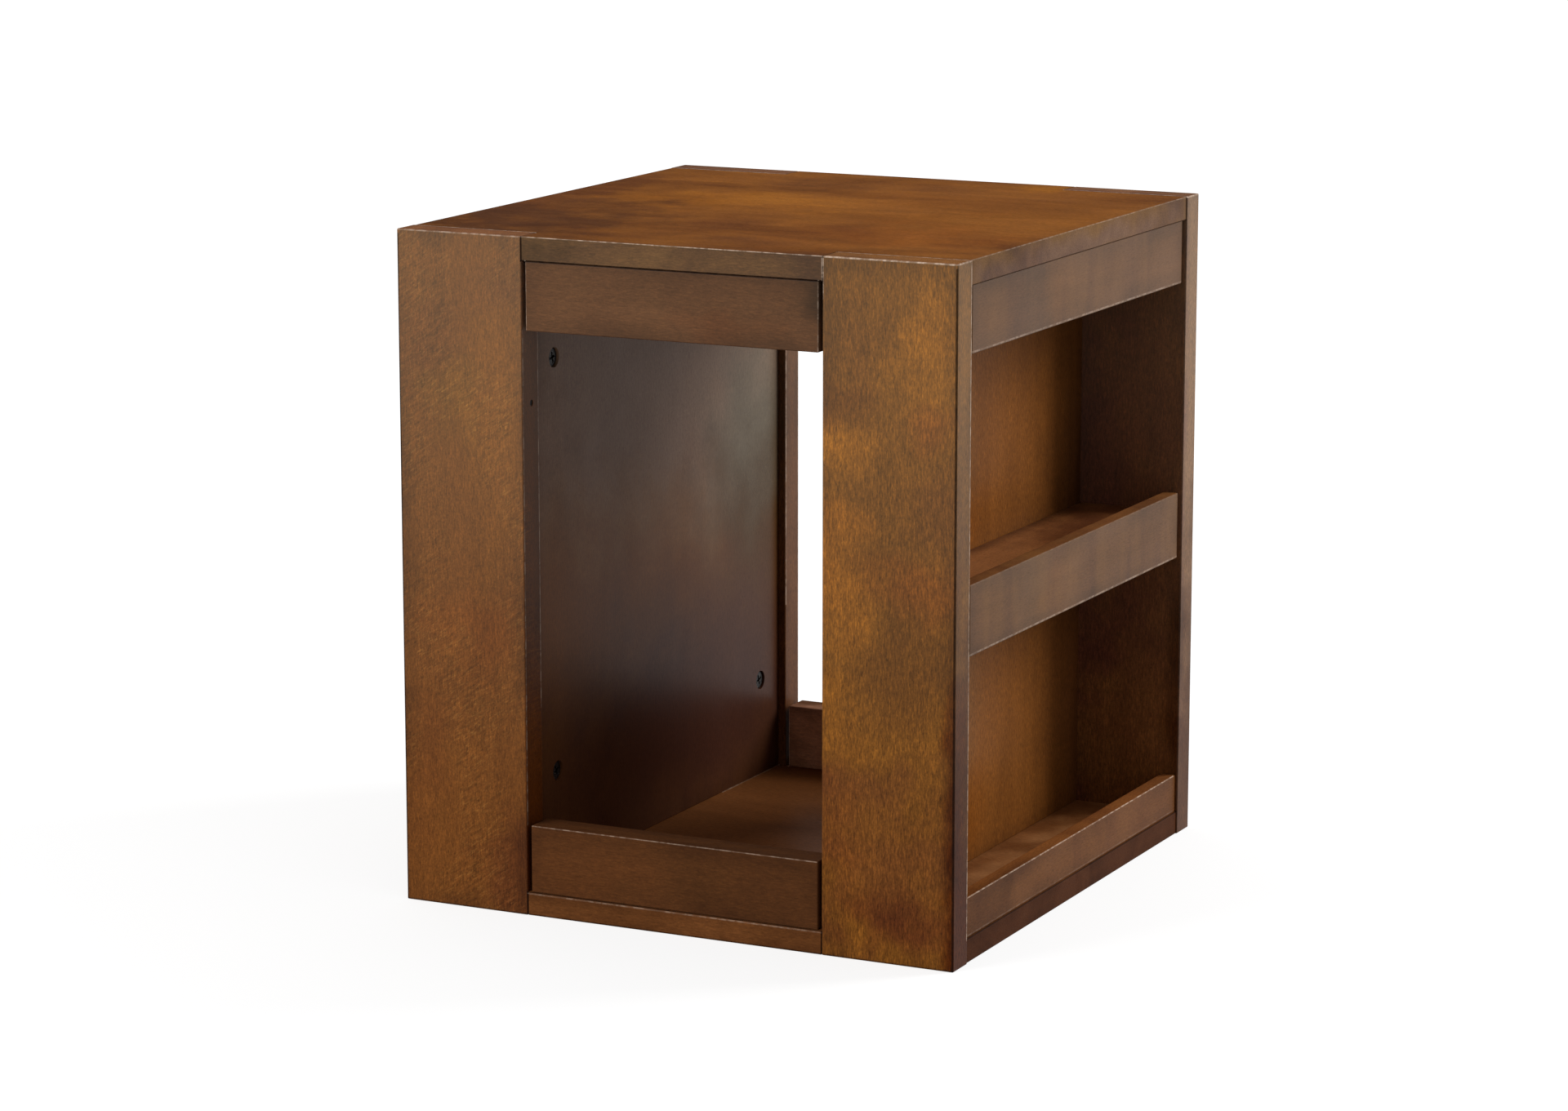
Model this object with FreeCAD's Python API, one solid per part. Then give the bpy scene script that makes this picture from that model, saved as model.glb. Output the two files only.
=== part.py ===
import FreeCAD, Part
import math
import os

# Square side table. Four wide, flat corner posts carry a tabletop and a base panel that are
# notched round them. Two upright walls make a tunnel open at the front and the rear. Right of
# the tunnel is a shallow open shelf, left of it a shallow cupboard with a hinged door.
# Millimetres. X runs left to right, Y front to rear, Z up from the floor.

Vector = FreeCAD.Vector
RIGHT = Vector(1, 0, 0)
REAR = Vector(0, 1, 0)
UP = Vector(0, 0, 1)

# Whole table
table_width = 450.0
table_depth = 460.0
table_height = 508.0

# Posts and panels
post_width = 104.0
post_thickness = 25.0
tabletop_thickness = 18.0
base_thickness = 18.0
panel_side_recess = 1.0
panel_face_recess = 0.3

# Rails between the posts, front and rear
rail_height = 51.0
rail_thickness = 25.0
rail_face_recess = 0.4
rail_end_gap = 3.2

# Tunnel walls
wall_thickness = 12.0
wall_recess = 6.0

# Boards on the two sides
side_board_thickness = 12.0
side_board_recess = 2.0
side_board_end_gap = 4.4
side_apron_height = 49.0
bottom_lip_height = 30.0
shelf_thickness = 18.0
shelf_top_height = 261.0
shelf_lip_height = 52.0
shelf_lip_drop = 19.0

# Rounded arrises
post_arris = 1.3
post_end_arris = 0.7
panel_arris = 0.7
board_arris = 1.0

# Door in the left side
door_thickness = 18.0
door_recess = 2.0
door_gap = 2.0
cupboard_shelf_setback = 3.0
knob_radius = 14.0
knob_reach = 24.0
knob_foot_radius = 9.0
knob_neck_radius = 5.5
knob_edge_inset = 45.0
knob_height = 300.0
knob_screw_radius = 2.0
knob_screw_grip = 9.0
knob_screw_head_radius = 4.2
knob_screw_head_height = 2.4

# Butt hinges
hinge_length = 50.0
hinge_end_inset = 60.0
hinge_leaf_thickness = 1.2
hinge_leaf_gap = 0.3
hinge_leaf_margin = 2.0
hinge_barrel_radius = 2.6
hinge_barrel_clearance = 0.3
hinge_pin_radius = 1.3
hinge_pin_fit = 0.02
hinge_turning_fit = 0.06
hinge_pin_cap_radius = 2.3
hinge_pin_cap_height = 1.2
hinge_screw_spread = 30.0

# Magnetic catch and its strike plate
catch_depth = 14.0
catch_width = 12.0
catch_length = 50.0
catch_height = 350.0
catch_air_gap = 0.3
catch_pole_thickness = 1.2
catch_pole_length = 28.0
catch_pole_depth = 9.0
catch_magnet_thickness = 4.0
catch_magnet_setback = 0.8
catch_fit = 0.05
strike_thickness = 1.2
strike_width = 12.0
strike_length = 40.0
strike_edge_inset = 1.0

# Wood screws, countersunk
screw_radius = 1.5
screw_head_radius = 2.7
screw_head_depth = 1.2
screw_bite = 14.0
screw_point = 3.0
screw_slot_width = 0.7
screw_slot_depth = 0.6

# Cam locks that pull the walls to the posts
cam_radius = 7.5
cam_depth = 9.5
cam_setback = 0.2
cam_fit = 0.1
cam_reach = 34.0
cam_end_inset = 79.0
cam_slot_width = 1.5
cam_slot_depth = 1.8
cam_slot_length = 9.5
bolt_thread_radius = 2.5
bolt_thread_length = 11.0
bolt_shank_radius = 3.3
bolt_neck_radius = 2.0
bolt_head_radius = 3.0
bolt_head_length = 3.0
bolt_fit = 0.3

# Dowels
dowel_radius = 4.0
dowel_length = 30.0
dowel_inset = 26.0
thin_dowel_radius = 3.0
thin_dowel_length = 22.0
thin_dowel_inset = 60.0
dowel_end_clearance = 0.5
dowel_chamfer = 0.8
bore_clearance = 0.05

# Small steel pin in the edge of the front left post, towards the tunnel
edge_pin_radius = 2.4
edge_pin_length = 12.0
edge_pin_height = 384.0
edge_pin_setback = 0.6

# Levels and planes that follow from the sizes above
half_width = table_width / 2
half_depth = table_depth / 2
post_inner_x = half_width - post_width
post_back_y = half_depth - post_thickness
base_top = base_thickness
tabletop_underside = table_height - tabletop_thickness
wall_tunnel_x = post_inner_x + wall_recess
wall_outer_x = wall_tunnel_x + wall_thickness
wall_middle_x = wall_tunnel_x + wall_thickness / 2
side_board_outer_x = half_width - side_board_recess
side_board_inner_x = side_board_outer_x - side_board_thickness
side_board_middle_x = side_board_outer_x - side_board_thickness / 2
rail_outer_y = half_depth - rail_face_recess
rail_middle_y = rail_outer_y - rail_thickness / 2
shelf_underside = shelf_top_height - shelf_thickness
shelf_middle_height = shelf_top_height - shelf_thickness / 2
side_apron_underside = tabletop_underside - side_apron_height
door_outer_x = -(half_width - door_recess)
door_inner_x = door_outer_x + door_thickness
door_middle_x = door_outer_x + door_thickness / 2
hinge_gap = 2 * hinge_leaf_thickness + hinge_leaf_gap
door_hinge_y = post_back_y - hinge_gap
door_latch_y = -post_back_y + door_gap
door_bottom = base_top + door_gap
door_top = side_apron_underside - door_gap
hinge_axis_x = -(half_width + hinge_barrel_radius + hinge_barrel_clearance)
hinge_axis_y = post_back_y - hinge_gap / 2

nodes = {}
bores = []


def box(x_range, y_range, z_range):
    low = [min(pair) for pair in (x_range, y_range, z_range)]
    high = [max(pair) for pair in (x_range, y_range, z_range)]
    size = [top - bottom for bottom, top in zip(low, high)]
    return Part.makeBox(size[0], size[1], size[2], Vector(*low))


def soften(solid, radius):
    return solid.makeFillet(radius, solid.Edges)


def board(x_range, y_range, z_range):
    return soften(box(x_range, y_range, z_range), board_arris)


def rod(start, direction, length, radius):
    return Part.makeCylinder(radius, length, start, direction)


def turned(profile, start, direction):
    """Solid of revolution: profile is (distance along the axis, radius) from one end to the other."""
    points = [Vector(radius, 0, along) for along, radius in profile]
    closed = [Vector(0, 0, profile[0][0])] + points + [Vector(0, 0, profile[-1][0])]
    outline = Part.makePolygon(closed + [closed[0]])
    solid = Part.Face(outline).revolve(Vector(0, 0, 0), UP, 360)
    solid.Placement = FreeCAD.Placement(start, FreeCAD.Rotation(UP, direction))
    return solid


def spread(low, high, inset, count):
    """Places from low to high, the first and last an inset from the ends."""
    first = low + inset
    step = (high - low - 2 * inset) / (count - 1)
    return [first + step * index for index in range(count)]


def drilled(solid):
    """The solid with every registered bore that reaches it cut out."""
    for bore in bores:
        if solid.BoundBox.intersect(bore.BoundBox):
            solid = solid.cut(bore)
    return solid


def dowel(seam, direction, radius, length, depth_ahead):
    """Dowel across a seam, depth_ahead of it on the direction's side, with its bore registered."""
    start = seam - direction * (length - depth_ahead)
    bore_start = start - direction * dowel_end_clearance
    bores.append(rod(bore_start, direction, length + 2 * dowel_end_clearance, radius + bore_clearance))
    profile = [
        (0, radius - dowel_chamfer),
        (dowel_chamfer, radius),
        (length - dowel_chamfer, radius),
        (length, radius - dowel_chamfer),
    ]
    return turned(profile, start, direction)


def wood_screw(head_face, direction, head_radius, bite):
    """Countersunk screw whose head is flush with head_face and whose point goes along direction."""
    profile = [
        (0, head_radius),
        (screw_head_depth, screw_radius),
        (bite - screw_point, screw_radius),
        (bite, screw_radius / 4),
    ]
    solid = turned(profile, head_face, direction)
    arm = Part.makeBox(2 * head_radius - 1.2, screw_slot_width, screw_slot_depth)
    arm.translate(Vector(0.6 - head_radius, -screw_slot_width / 2, 0))
    cross = arm.fuse(arm.rotated(Vector(0, 0, 0), UP, 90))
    cross.Placement = FreeCAD.Placement(head_face, FreeCAD.Rotation(UP, direction))
    return solid.cut(cross)


def screw_bore(head_face, direction, head_radius, bite):
    profile = [
        (0, head_radius + bore_clearance),
        (screw_head_depth, screw_radius + bore_clearance),
        (bite + dowel_end_clearance, screw_radius + bore_clearance),
    ]
    return turned(profile, head_face, direction)


def add_group(name, solids):
    nodes[name] = Part.makeCompound(solids)


# Structure

def make_post(x_sign, y_sign):
    inner = post_inner_x * x_sign
    outer = half_width * x_sign
    solid = box((inner, outer), (post_back_y * y_sign, half_depth * y_sign), (0, table_height))
    upright = [edge for edge in solid.Edges if edge.BoundBox.ZLength > table_height / 2]
    solid = solid.makeFillet(post_arris, upright)
    ends = [edge for edge in solid.Edges if edge.BoundBox.ZLength < post_arris / 2]
    return solid.makeFillet(post_end_arris, ends)


def make_panel(bottom, top):
    """Full-size panel with a notch round each post."""
    x_reach = half_width - panel_side_recess
    y_reach = half_depth - panel_face_recess
    solid = box((-x_reach, x_reach), (-y_reach, y_reach), (bottom, top))
    for x_sign in (-1, 1):
        for y_sign in (-1, 1):
            notch = box(
                (post_inner_x * x_sign, table_width * x_sign),
                (post_back_y * y_sign, table_depth * y_sign),
                (bottom, top),
            )
            solid = solid.cut(notch)
    return soften(solid, panel_arris)


def make_rail(y_sign, bottom):
    reach = post_inner_x - rail_end_gap
    inner_y = (rail_outer_y - rail_thickness) * y_sign
    return board((-reach, reach), (inner_y, rail_outer_y * y_sign), (bottom, bottom + rail_height))


def make_side_board(x_sign, bottom, top, end_gap):
    reach = post_back_y - end_gap
    x_range = (side_board_inner_x * x_sign, side_board_outer_x * x_sign)
    return board(x_range, (-reach, reach), (bottom, top))


def make_wall(x_sign):
    x_range = (wall_tunnel_x * x_sign, wall_outer_x * x_sign)
    return board(x_range, (-post_back_y, post_back_y), (base_top, tabletop_underside))


def make_shelf(x_range):
    return board(x_range, (-post_back_y, post_back_y), (shelf_underside, shelf_top_height))


# Fasteners between the boards

def dowels_into_panel(panel_middle):
    """Dowels from the posts' inner faces into the notches of one panel."""
    solids = []
    for x_sign in (-1, 1):
        for y_sign in (-1, 1):
            for x in spread(post_inner_x, half_width - panel_side_recess, dowel_inset, 2):
                seam = Vector(x * x_sign, post_back_y * y_sign, panel_middle)
                ahead = post_thickness * 0.6
                solids.append(dowel(seam, REAR * y_sign, dowel_radius, dowel_length, ahead))
    return solids


def dowels_into_rails(panel_face, panel_thickness, direction):
    """Dowels from the face of a panel into the front and rear rails against it."""
    solids = []
    reach = post_inner_x - rail_end_gap
    ahead = dowel_length - panel_thickness * 0.6
    for y_sign in (-1, 1):
        for x in spread(-reach, reach, dowel_inset, 2):
            seam = Vector(x, rail_middle_y * y_sign, panel_face)
            solids.append(dowel(seam, direction, dowel_radius, dowel_length, ahead))
    return solids


def dowels_into_side_board(x_sign, panel_face, panel_thickness, direction, end_gap):
    reach = post_back_y - end_gap
    ahead = thin_dowel_length - panel_thickness * 0.5
    solids = []
    for y in spread(-reach, reach, thin_dowel_inset, 3):
        seam = Vector(side_board_middle_x * x_sign, y, panel_face)
        solids.append(dowel(seam, direction, thin_dowel_radius, thin_dowel_length, ahead))
    return solids


def dowels_into_walls(panel_face, panel_thickness, direction):
    solids = []
    ahead = thin_dowel_length - panel_thickness * 0.5
    for x_sign in (-1, 1):
        for y in spread(-post_back_y, post_back_y, 2 * thin_dowel_inset, 2):
            seam = Vector(wall_middle_x * x_sign, y, panel_face)
            solids.append(dowel(seam, direction, thin_dowel_radius, thin_dowel_length, ahead))
    return solids


def dowels_into_shelf(x_low, x_high):
    """Dowels from the posts' inner faces into both ends of a side shelf."""
    solids = []
    for y_sign in (-1, 1):
        for x in spread(x_low, x_high, dowel_inset * 0.6, 2):
            seam = Vector(x, post_back_y * y_sign, shelf_middle_height)
            ahead = post_thickness * 0.6
            solids.append(dowel(seam, REAR * y_sign, dowel_radius, dowel_length, ahead))
    return solids


def dowels_into_shelf_edge(seam_x, direction, count, board_thickness):
    """Thin dowels from a wall or a lip, board_thickness thick, into the long edge of a shelf."""
    solids = []
    ahead = board_thickness * 0.6
    for y in spread(-post_back_y, post_back_y, thin_dowel_inset, count):
        seam = Vector(seam_x, y, shelf_middle_height)
        solids.append(dowel(seam, direction, thin_dowel_radius, thin_dowel_length, ahead))
    return solids


def cam_places(x_sign):
    """Cam centres on the tunnel face of a wall, each with the way from the cam to its post."""
    places = []
    for y_sign in (-1, 1):
        for z in (base_top + cam_end_inset, tabletop_underside - cam_end_inset):
            centre = Vector(wall_tunnel_x * x_sign, (post_back_y - cam_reach) * y_sign, z)
            places.append((centre, RIGHT * x_sign, REAR * y_sign))
    return places


def make_cam(centre, inward, to_post):
    """Cam with a cross slot in its face and a pocket for the head of the bolt."""
    face = centre + inward * cam_setback
    body = rod(face, inward, cam_depth, cam_radius)
    middle = centre + inward * (wall_thickness / 2)
    pocket_start = middle - to_post * (bolt_head_length / 2 + bolt_fit)
    pocket = rod(pocket_start, to_post, cam_radius * 2, bolt_head_radius + bolt_fit)
    body = body.cut(pocket)
    for slot_axis, cross_axis in ((REAR, UP), (UP, REAR)):
        size = inward * cam_slot_depth * 2 + slot_axis * cam_slot_length + cross_axis * cam_slot_width
        low = face - size * 0.5
        high = face + size * 0.5
        body = body.cut(box((low.x, high.x), (low.y, high.y), (low.z, high.z)))
    return body


def make_cam_bolt(centre, inward, to_post):
    """Bolt screwed into the post, its head caught by the cam."""
    start = centre + inward * (wall_thickness / 2) - to_post * (bolt_head_length / 2)
    shank_start = cam_radius + cam_fit + bolt_head_length / 2
    seam = cam_reach + bolt_head_length / 2
    profile = [
        (0, bolt_head_radius),
        (bolt_head_length, bolt_head_radius),
        (bolt_head_length, bolt_neck_radius),
        (shank_start, bolt_neck_radius),
        (shank_start, bolt_shank_radius),
        (seam, bolt_shank_radius),
        (seam, bolt_thread_radius),
        (seam + bolt_thread_length, bolt_thread_radius),
    ]
    return turned(profile, start, to_post)


def cam_bores(centre, inward, to_post):
    cam_bore = rod(centre - inward, inward, cam_depth + cam_setback + cam_fit + 1, cam_radius + cam_fit)
    middle = centre + inward * (wall_thickness / 2)
    shank_bore = rod(middle, to_post, cam_reach, bolt_shank_radius + bore_clearance)
    seam = middle + to_post * cam_reach
    thread_depth = bolt_thread_length + dowel_end_clearance
    thread_bore = rod(seam, to_post, thread_depth, bolt_thread_radius + bore_clearance)
    return [cam_bore, shank_bore, thread_bore]


def make_edge_pin():
    """Steel pin in the tunnel edge of the front left post, sunk a little below the edge."""
    middle_y = -(half_depth - post_thickness * 0.55)
    mouth = Vector(-post_inner_x, middle_y, edge_pin_height)
    start = mouth - RIGHT * (edge_pin_setback + edge_pin_length)
    bore_length = edge_pin_length + edge_pin_setback + dowel_end_clearance
    bores.append(rod(start - RIGHT * dowel_end_clearance, RIGHT, bore_length + 1, edge_pin_radius + bore_clearance))
    return rod(start, RIGHT, edge_pin_length, edge_pin_radius)


# Door and its fittings

def make_door():
    y_range = (door_latch_y, door_hinge_y)
    return board((door_outer_x, door_inner_x), y_range, (door_bottom, door_top))


knob_y = door_latch_y + knob_edge_inset
knob_base = Vector(door_outer_x, knob_y, knob_height)


def make_knob():
    """Round knob: a foot on the door, a neck and a domed head with a threaded bore behind."""
    outward = RIGHT * -1
    head_thickness = knob_reach * 0.45
    neck_end = knob_reach - head_thickness
    head_lip = neck_end + head_thickness * 0.35
    rise = knob_reach - head_lip
    crown_radius = (knob_radius ** 2 + rise ** 2) / (2 * rise)
    half_angle = math.asin(knob_radius / crown_radius) / 2
    drop = crown_radius * (1 - math.cos(half_angle))
    outline = [
        Vector(0, 0, 0),
        Vector(knob_foot_radius, 0, 0),
        Vector(knob_foot_radius, 0, knob_reach * 0.08),
        Vector(knob_neck_radius, 0, knob_reach * 0.25),
        Vector(knob_neck_radius, 0, neck_end),
        Vector(knob_radius, 0, head_lip),
    ]
    edges = [Part.makeLine(start, end) for start, end in zip(outline, outline[1:])]
    crown_middle = Vector(crown_radius * math.sin(half_angle), 0, knob_reach - drop)
    dome = Part.Arc(outline[-1], crown_middle, Vector(0, 0, knob_reach)).toShape()
    edges += [dome, Part.makeLine(Vector(0, 0, knob_reach), outline[0])]
    solid = Part.Face(Part.Wire(edges)).revolve(Vector(0, 0, 0), UP, 360)
    bore = rod(Vector(0, 0, 0), UP, knob_screw_grip + dowel_end_clearance, knob_screw_radius + bore_clearance)
    solid = solid.cut(bore)
    solid.Placement = FreeCAD.Placement(knob_base, FreeCAD.Rotation(UP, outward))
    return solid


def make_knob_screw():
    """Machine screw through the door, its pan head on the inner face."""
    length = door_thickness + knob_screw_grip
    bores.append(rod(knob_base, RIGHT, door_thickness, knob_screw_radius + bore_clearance))
    profile = [
        (-length, knob_screw_radius),
        (0, knob_screw_radius),
        (0, knob_screw_head_radius),
        (knob_screw_head_height * 0.6, knob_screw_head_radius),
        (knob_screw_head_height, knob_screw_head_radius * 0.7),
    ]
    head_seat = Vector(door_inner_x, knob_y, knob_height)
    solid = turned(profile, head_seat, RIGHT)
    outer_x = door_inner_x + knob_screw_head_height
    half_slot = knob_screw_head_radius
    slot = box(
        (outer_x - screw_slot_depth, outer_x),
        (knob_y - half_slot, knob_y + half_slot),
        (knob_height - screw_slot_width / 2, knob_height + screw_slot_width / 2),
    )
    return solid.cut(slot)


def knuckle_ranges(middle):
    """Heights of the three knuckles of a hinge: frame, door, frame."""
    knuckle = (hinge_length - 2 * hinge_leaf_gap) / 3
    bottom = middle - hinge_length / 2
    starts = [bottom + index * (knuckle + hinge_leaf_gap) for index in range(3)]
    return [(start, start + knuckle) for start in starts]


def make_hinge_leaf(middle, own_ranges, other_ranges, y_range, bore_fit):
    """Flat leaf with its own knuckles round the pin, cut back from the other leaf's knuckles."""
    plate_start = hinge_axis_x + hinge_pin_radius + bore_fit + 0.2
    plate_end = door_inner_x - hinge_leaf_margin
    z_range = (middle - hinge_length / 2, middle + hinge_length / 2)
    leaf = box((plate_start, plate_end), y_range, z_range)
    for bottom, top in other_ranges:
        start = Vector(hinge_axis_x, hinge_axis_y, bottom - hinge_leaf_gap)
        length = top - bottom + 2 * hinge_leaf_gap
        leaf = leaf.cut(rod(start, UP, length, hinge_barrel_radius + hinge_barrel_clearance))
    for bottom, top in own_ranges:
        knuckle = rod(Vector(hinge_axis_x, hinge_axis_y, bottom), UP, top - bottom, hinge_barrel_radius)
        leaf = leaf.fuse(knuckle)
    pin_start = Vector(hinge_axis_x, hinge_axis_y, z_range[0] - 1)
    leaf = leaf.cut(rod(pin_start, UP, hinge_length + 2, hinge_pin_radius + bore_fit))
    return leaf.removeSplitter()


def make_hinge_pin(middle):
    """Pin with a small round cap at each end of the barrel."""
    half = hinge_length / 2
    cap_rim = half + hinge_pin_cap_height * 0.6
    cap_end = half + hinge_pin_cap_height
    profile = [
        (-cap_end, hinge_pin_cap_radius * 0.6),
        (-cap_rim, hinge_pin_cap_radius),
        (-half, hinge_pin_cap_radius),
        (-half, hinge_pin_radius),
        (half, hinge_pin_radius),
        (half, hinge_pin_cap_radius),
        (cap_rim, hinge_pin_cap_radius),
        (cap_end, hinge_pin_cap_radius * 0.6),
    ]
    return turned(profile, Vector(hinge_axis_x, hinge_axis_y, middle), UP)


def hinge_screw_places(middle, y):
    offset = hinge_screw_spread / 2
    return [Vector(door_middle_x, y, middle + side * offset) for side in (-1, 1)]


def make_hinge(name, middle):
    ranges = knuckle_ranges(middle)
    frame_ranges = [ranges[0], ranges[2]]
    door_ranges = [ranges[1]]
    frame_face = post_back_y - hinge_leaf_thickness
    door_face = door_hinge_y + hinge_leaf_thickness
    frame_leaf = make_hinge_leaf(
        middle, frame_ranges, door_ranges, (frame_face, post_back_y), hinge_pin_fit)
    door_leaf = make_hinge_leaf(
        middle, door_ranges, frame_ranges, (door_hinge_y, door_face), hinge_turning_fit)
    frame_screws = []
    door_screws = []
    for place in hinge_screw_places(middle, frame_face):
        frame_screws.append(wood_screw(place, REAR, screw_head_radius, screw_bite))
        bores.append(screw_bore(place, REAR, screw_head_radius, screw_bite))
    for place in hinge_screw_places(middle, door_face):
        door_screws.append(wood_screw(place, REAR * -1, screw_head_radius, screw_bite))
        bores.append(screw_bore(place, REAR * -1, screw_head_radius, screw_bite))
    nodes["hinge_" + name + "_frame_leaf"] = drilled(frame_leaf)
    nodes["hinge_" + name + "_door_leaf"] = drilled(door_leaf)
    nodes["hinge_" + name + "_pin"] = make_hinge_pin(middle)
    return frame_screws, door_screws


catch_face_x = door_inner_x + strike_thickness + catch_air_gap
catch_y_range = (-post_back_y, -post_back_y + catch_width)
catch_middle_y = -post_back_y + catch_width / 2


def make_catch():
    """Magnetic catch on the front left post: housing, two steel poles and the magnet between them."""
    half_length = catch_length / 2
    x_range = (catch_face_x, catch_face_x + catch_depth)
    housing = box(x_range, catch_y_range, (catch_height - half_length, catch_height + half_length))
    housing = soften(housing, board_arris)
    half_pocket = catch_magnet_thickness / 2 + catch_pole_thickness
    half_pole = catch_pole_length / 2
    z_range = (catch_height - half_pole, catch_height + half_pole)
    pocket = box(
        (catch_face_x - 1, catch_face_x + catch_pole_depth + catch_fit),
        (catch_middle_y - half_pocket - catch_fit, catch_middle_y + half_pocket + catch_fit),
        (z_range[0] - catch_fit, z_range[1] + catch_fit),
    )
    housing = housing.cut(pocket)
    poles = []
    for side in (-1, 1):
        y_range = (
            catch_middle_y + side * catch_magnet_thickness / 2,
            catch_middle_y + side * half_pocket,
        )
        poles.append(box((catch_face_x, catch_face_x + catch_pole_depth), y_range, z_range))
    magnet = box(
        (catch_face_x + catch_magnet_setback, catch_face_x + catch_pole_depth),
        (catch_middle_y - catch_magnet_thickness / 2, catch_middle_y + catch_magnet_thickness / 2),
        z_range,
    )
    screws = []
    bite = catch_width + screw_bite
    screw_x = catch_face_x + catch_depth / 2
    screw_offset = (half_length + half_pole) / 2
    for side in (-1, 1):
        place = Vector(screw_x, catch_y_range[1], catch_height + side * screw_offset)
        screws.append(wood_screw(place, REAR * -1, screw_head_radius, bite))
        bores.append(screw_bore(place, REAR * -1, screw_head_radius, bite))
    nodes["catch_housing"] = drilled(housing)
    add_group("catch_poles", poles)
    nodes["catch_magnet"] = magnet
    add_group("catch_screws", screws)


def make_strike():
    """Steel plate on the inner face of the door, opposite the catch."""
    low_y = door_latch_y + strike_edge_inset
    x_range = (door_inner_x, door_inner_x + strike_thickness)
    z_range = (catch_height - strike_length / 2, catch_height + strike_length / 2)
    plate = box(x_range, (low_y, low_y + strike_width), z_range)
    place = Vector(x_range[1], low_y + strike_width / 2, catch_height)
    bores.append(screw_bore(place, RIGHT * -1, screw_head_radius, screw_bite))
    nodes["strike_plate"] = drilled(plate)
    nodes["strike_screw"] = wood_screw(place, RIGHT * -1, screw_head_radius, screw_bite)


# Assembly: fasteners first, so that every board can be drilled for them

add_group("dowels_tabletop", dowels_into_panel(table_height - tabletop_thickness / 2))
add_group("dowels_base", dowels_into_panel(base_thickness / 2))
add_group(
    "dowels_rails",
    dowels_into_rails(tabletop_underside, tabletop_thickness, UP * -1)
    + dowels_into_rails(base_top, base_thickness, UP))
add_group(
    "dowels_side_aprons",
    dowels_into_side_board(1, tabletop_underside, tabletop_thickness, UP * -1, side_board_end_gap)
    + dowels_into_side_board(-1, tabletop_underside, tabletop_thickness, UP * -1, side_board_end_gap))
add_group("dowels_bottom_lip", dowels_into_side_board(1, base_top, base_thickness, UP, 0))
add_group(
    "dowels_walls",
    dowels_into_walls(tabletop_underside, tabletop_thickness, UP * -1)
    + dowels_into_walls(base_top, base_thickness, UP))
cupboard_shelf_x = door_inner_x + cupboard_shelf_setback
add_group(
    "dowels_shelf_right",
    dowels_into_shelf(wall_outer_x, side_board_inner_x)
    + dowels_into_shelf_edge(wall_outer_x, RIGHT * -1, 2, wall_thickness))
add_group(
    "dowels_shelf_lip",
    dowels_into_shelf_edge(side_board_inner_x, RIGHT, 3, side_board_thickness))
add_group(
    "dowels_shelf_left",
    dowels_into_shelf(cupboard_shelf_x, -wall_outer_x)
    + dowels_into_shelf_edge(-wall_outer_x, RIGHT, 2, wall_thickness))

for side_name, x_sign in (("left", -1), ("right", 1)):
    places = cam_places(x_sign)
    add_group("cam_locks_" + side_name, [make_cam(*place) for place in places])
    add_group("cam_bolts_" + side_name, [make_cam_bolt(*place) for place in places])
    for place in places:
        bores += cam_bores(*place)

nodes["edge_pin"] = make_edge_pin()
nodes["door_knob"] = make_knob()
nodes["knob_screw"] = make_knob_screw()
lower_frame, lower_door = make_hinge("lower", door_bottom + hinge_end_inset)
upper_frame, upper_door = make_hinge("upper", door_top - hinge_end_inset)
add_group("hinge_frame_screws", lower_frame + upper_frame)
add_group("hinge_door_screws", lower_door + upper_door)
make_catch()
make_strike()

for end_name, y_sign in (("front", -1), ("rear", 1)):
    for side_name, x_sign in (("left", -1), ("right", 1)):
        nodes["post_" + end_name + "_" + side_name] = drilled(make_post(x_sign, y_sign))
    nodes["apron_" + end_name] = drilled(make_rail(y_sign, tabletop_underside - rail_height))
    nodes["bottom_rail_" + end_name] = drilled(make_rail(y_sign, base_top))

nodes["tabletop"] = drilled(make_panel(tabletop_underside, table_height))
nodes["base_panel"] = drilled(make_panel(0, base_thickness))
lip_bottom = shelf_underside - shelf_lip_drop
nodes["shelf_lip_right"] = drilled(
    make_side_board(1, lip_bottom, lip_bottom + shelf_lip_height, side_board_end_gap))
nodes["bottom_lip_right"] = drilled(make_side_board(1, base_top, base_top + bottom_lip_height, 0))
nodes["shelf_right"] = drilled(make_shelf((wall_outer_x, side_board_inner_x)))
nodes["shelf_left"] = drilled(make_shelf((cupboard_shelf_x, -wall_outer_x)))
for side_name, x_sign in (("left", -1), ("right", 1)):
    nodes["wall_" + side_name] = drilled(make_wall(x_sign))
    nodes["apron_" + side_name] = drilled(
        make_side_board(x_sign, side_apron_underside, tabletop_underside, side_board_end_gap))
nodes["door"] = drilled(make_door())

os.makedirs("parts", exist_ok=True)
for name, solid in nodes.items():
    solid.exportStep(os.path.join("parts", name + ".step"))
print(len(nodes), "nodes")
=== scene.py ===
"""Finishes, floor, light and camera of a side table with a tunnel, open shelves and a door side."""

import math
from collections import namedtuple

import bmesh
import bpy
from mathutils import Euler, Matrix, Vector


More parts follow.
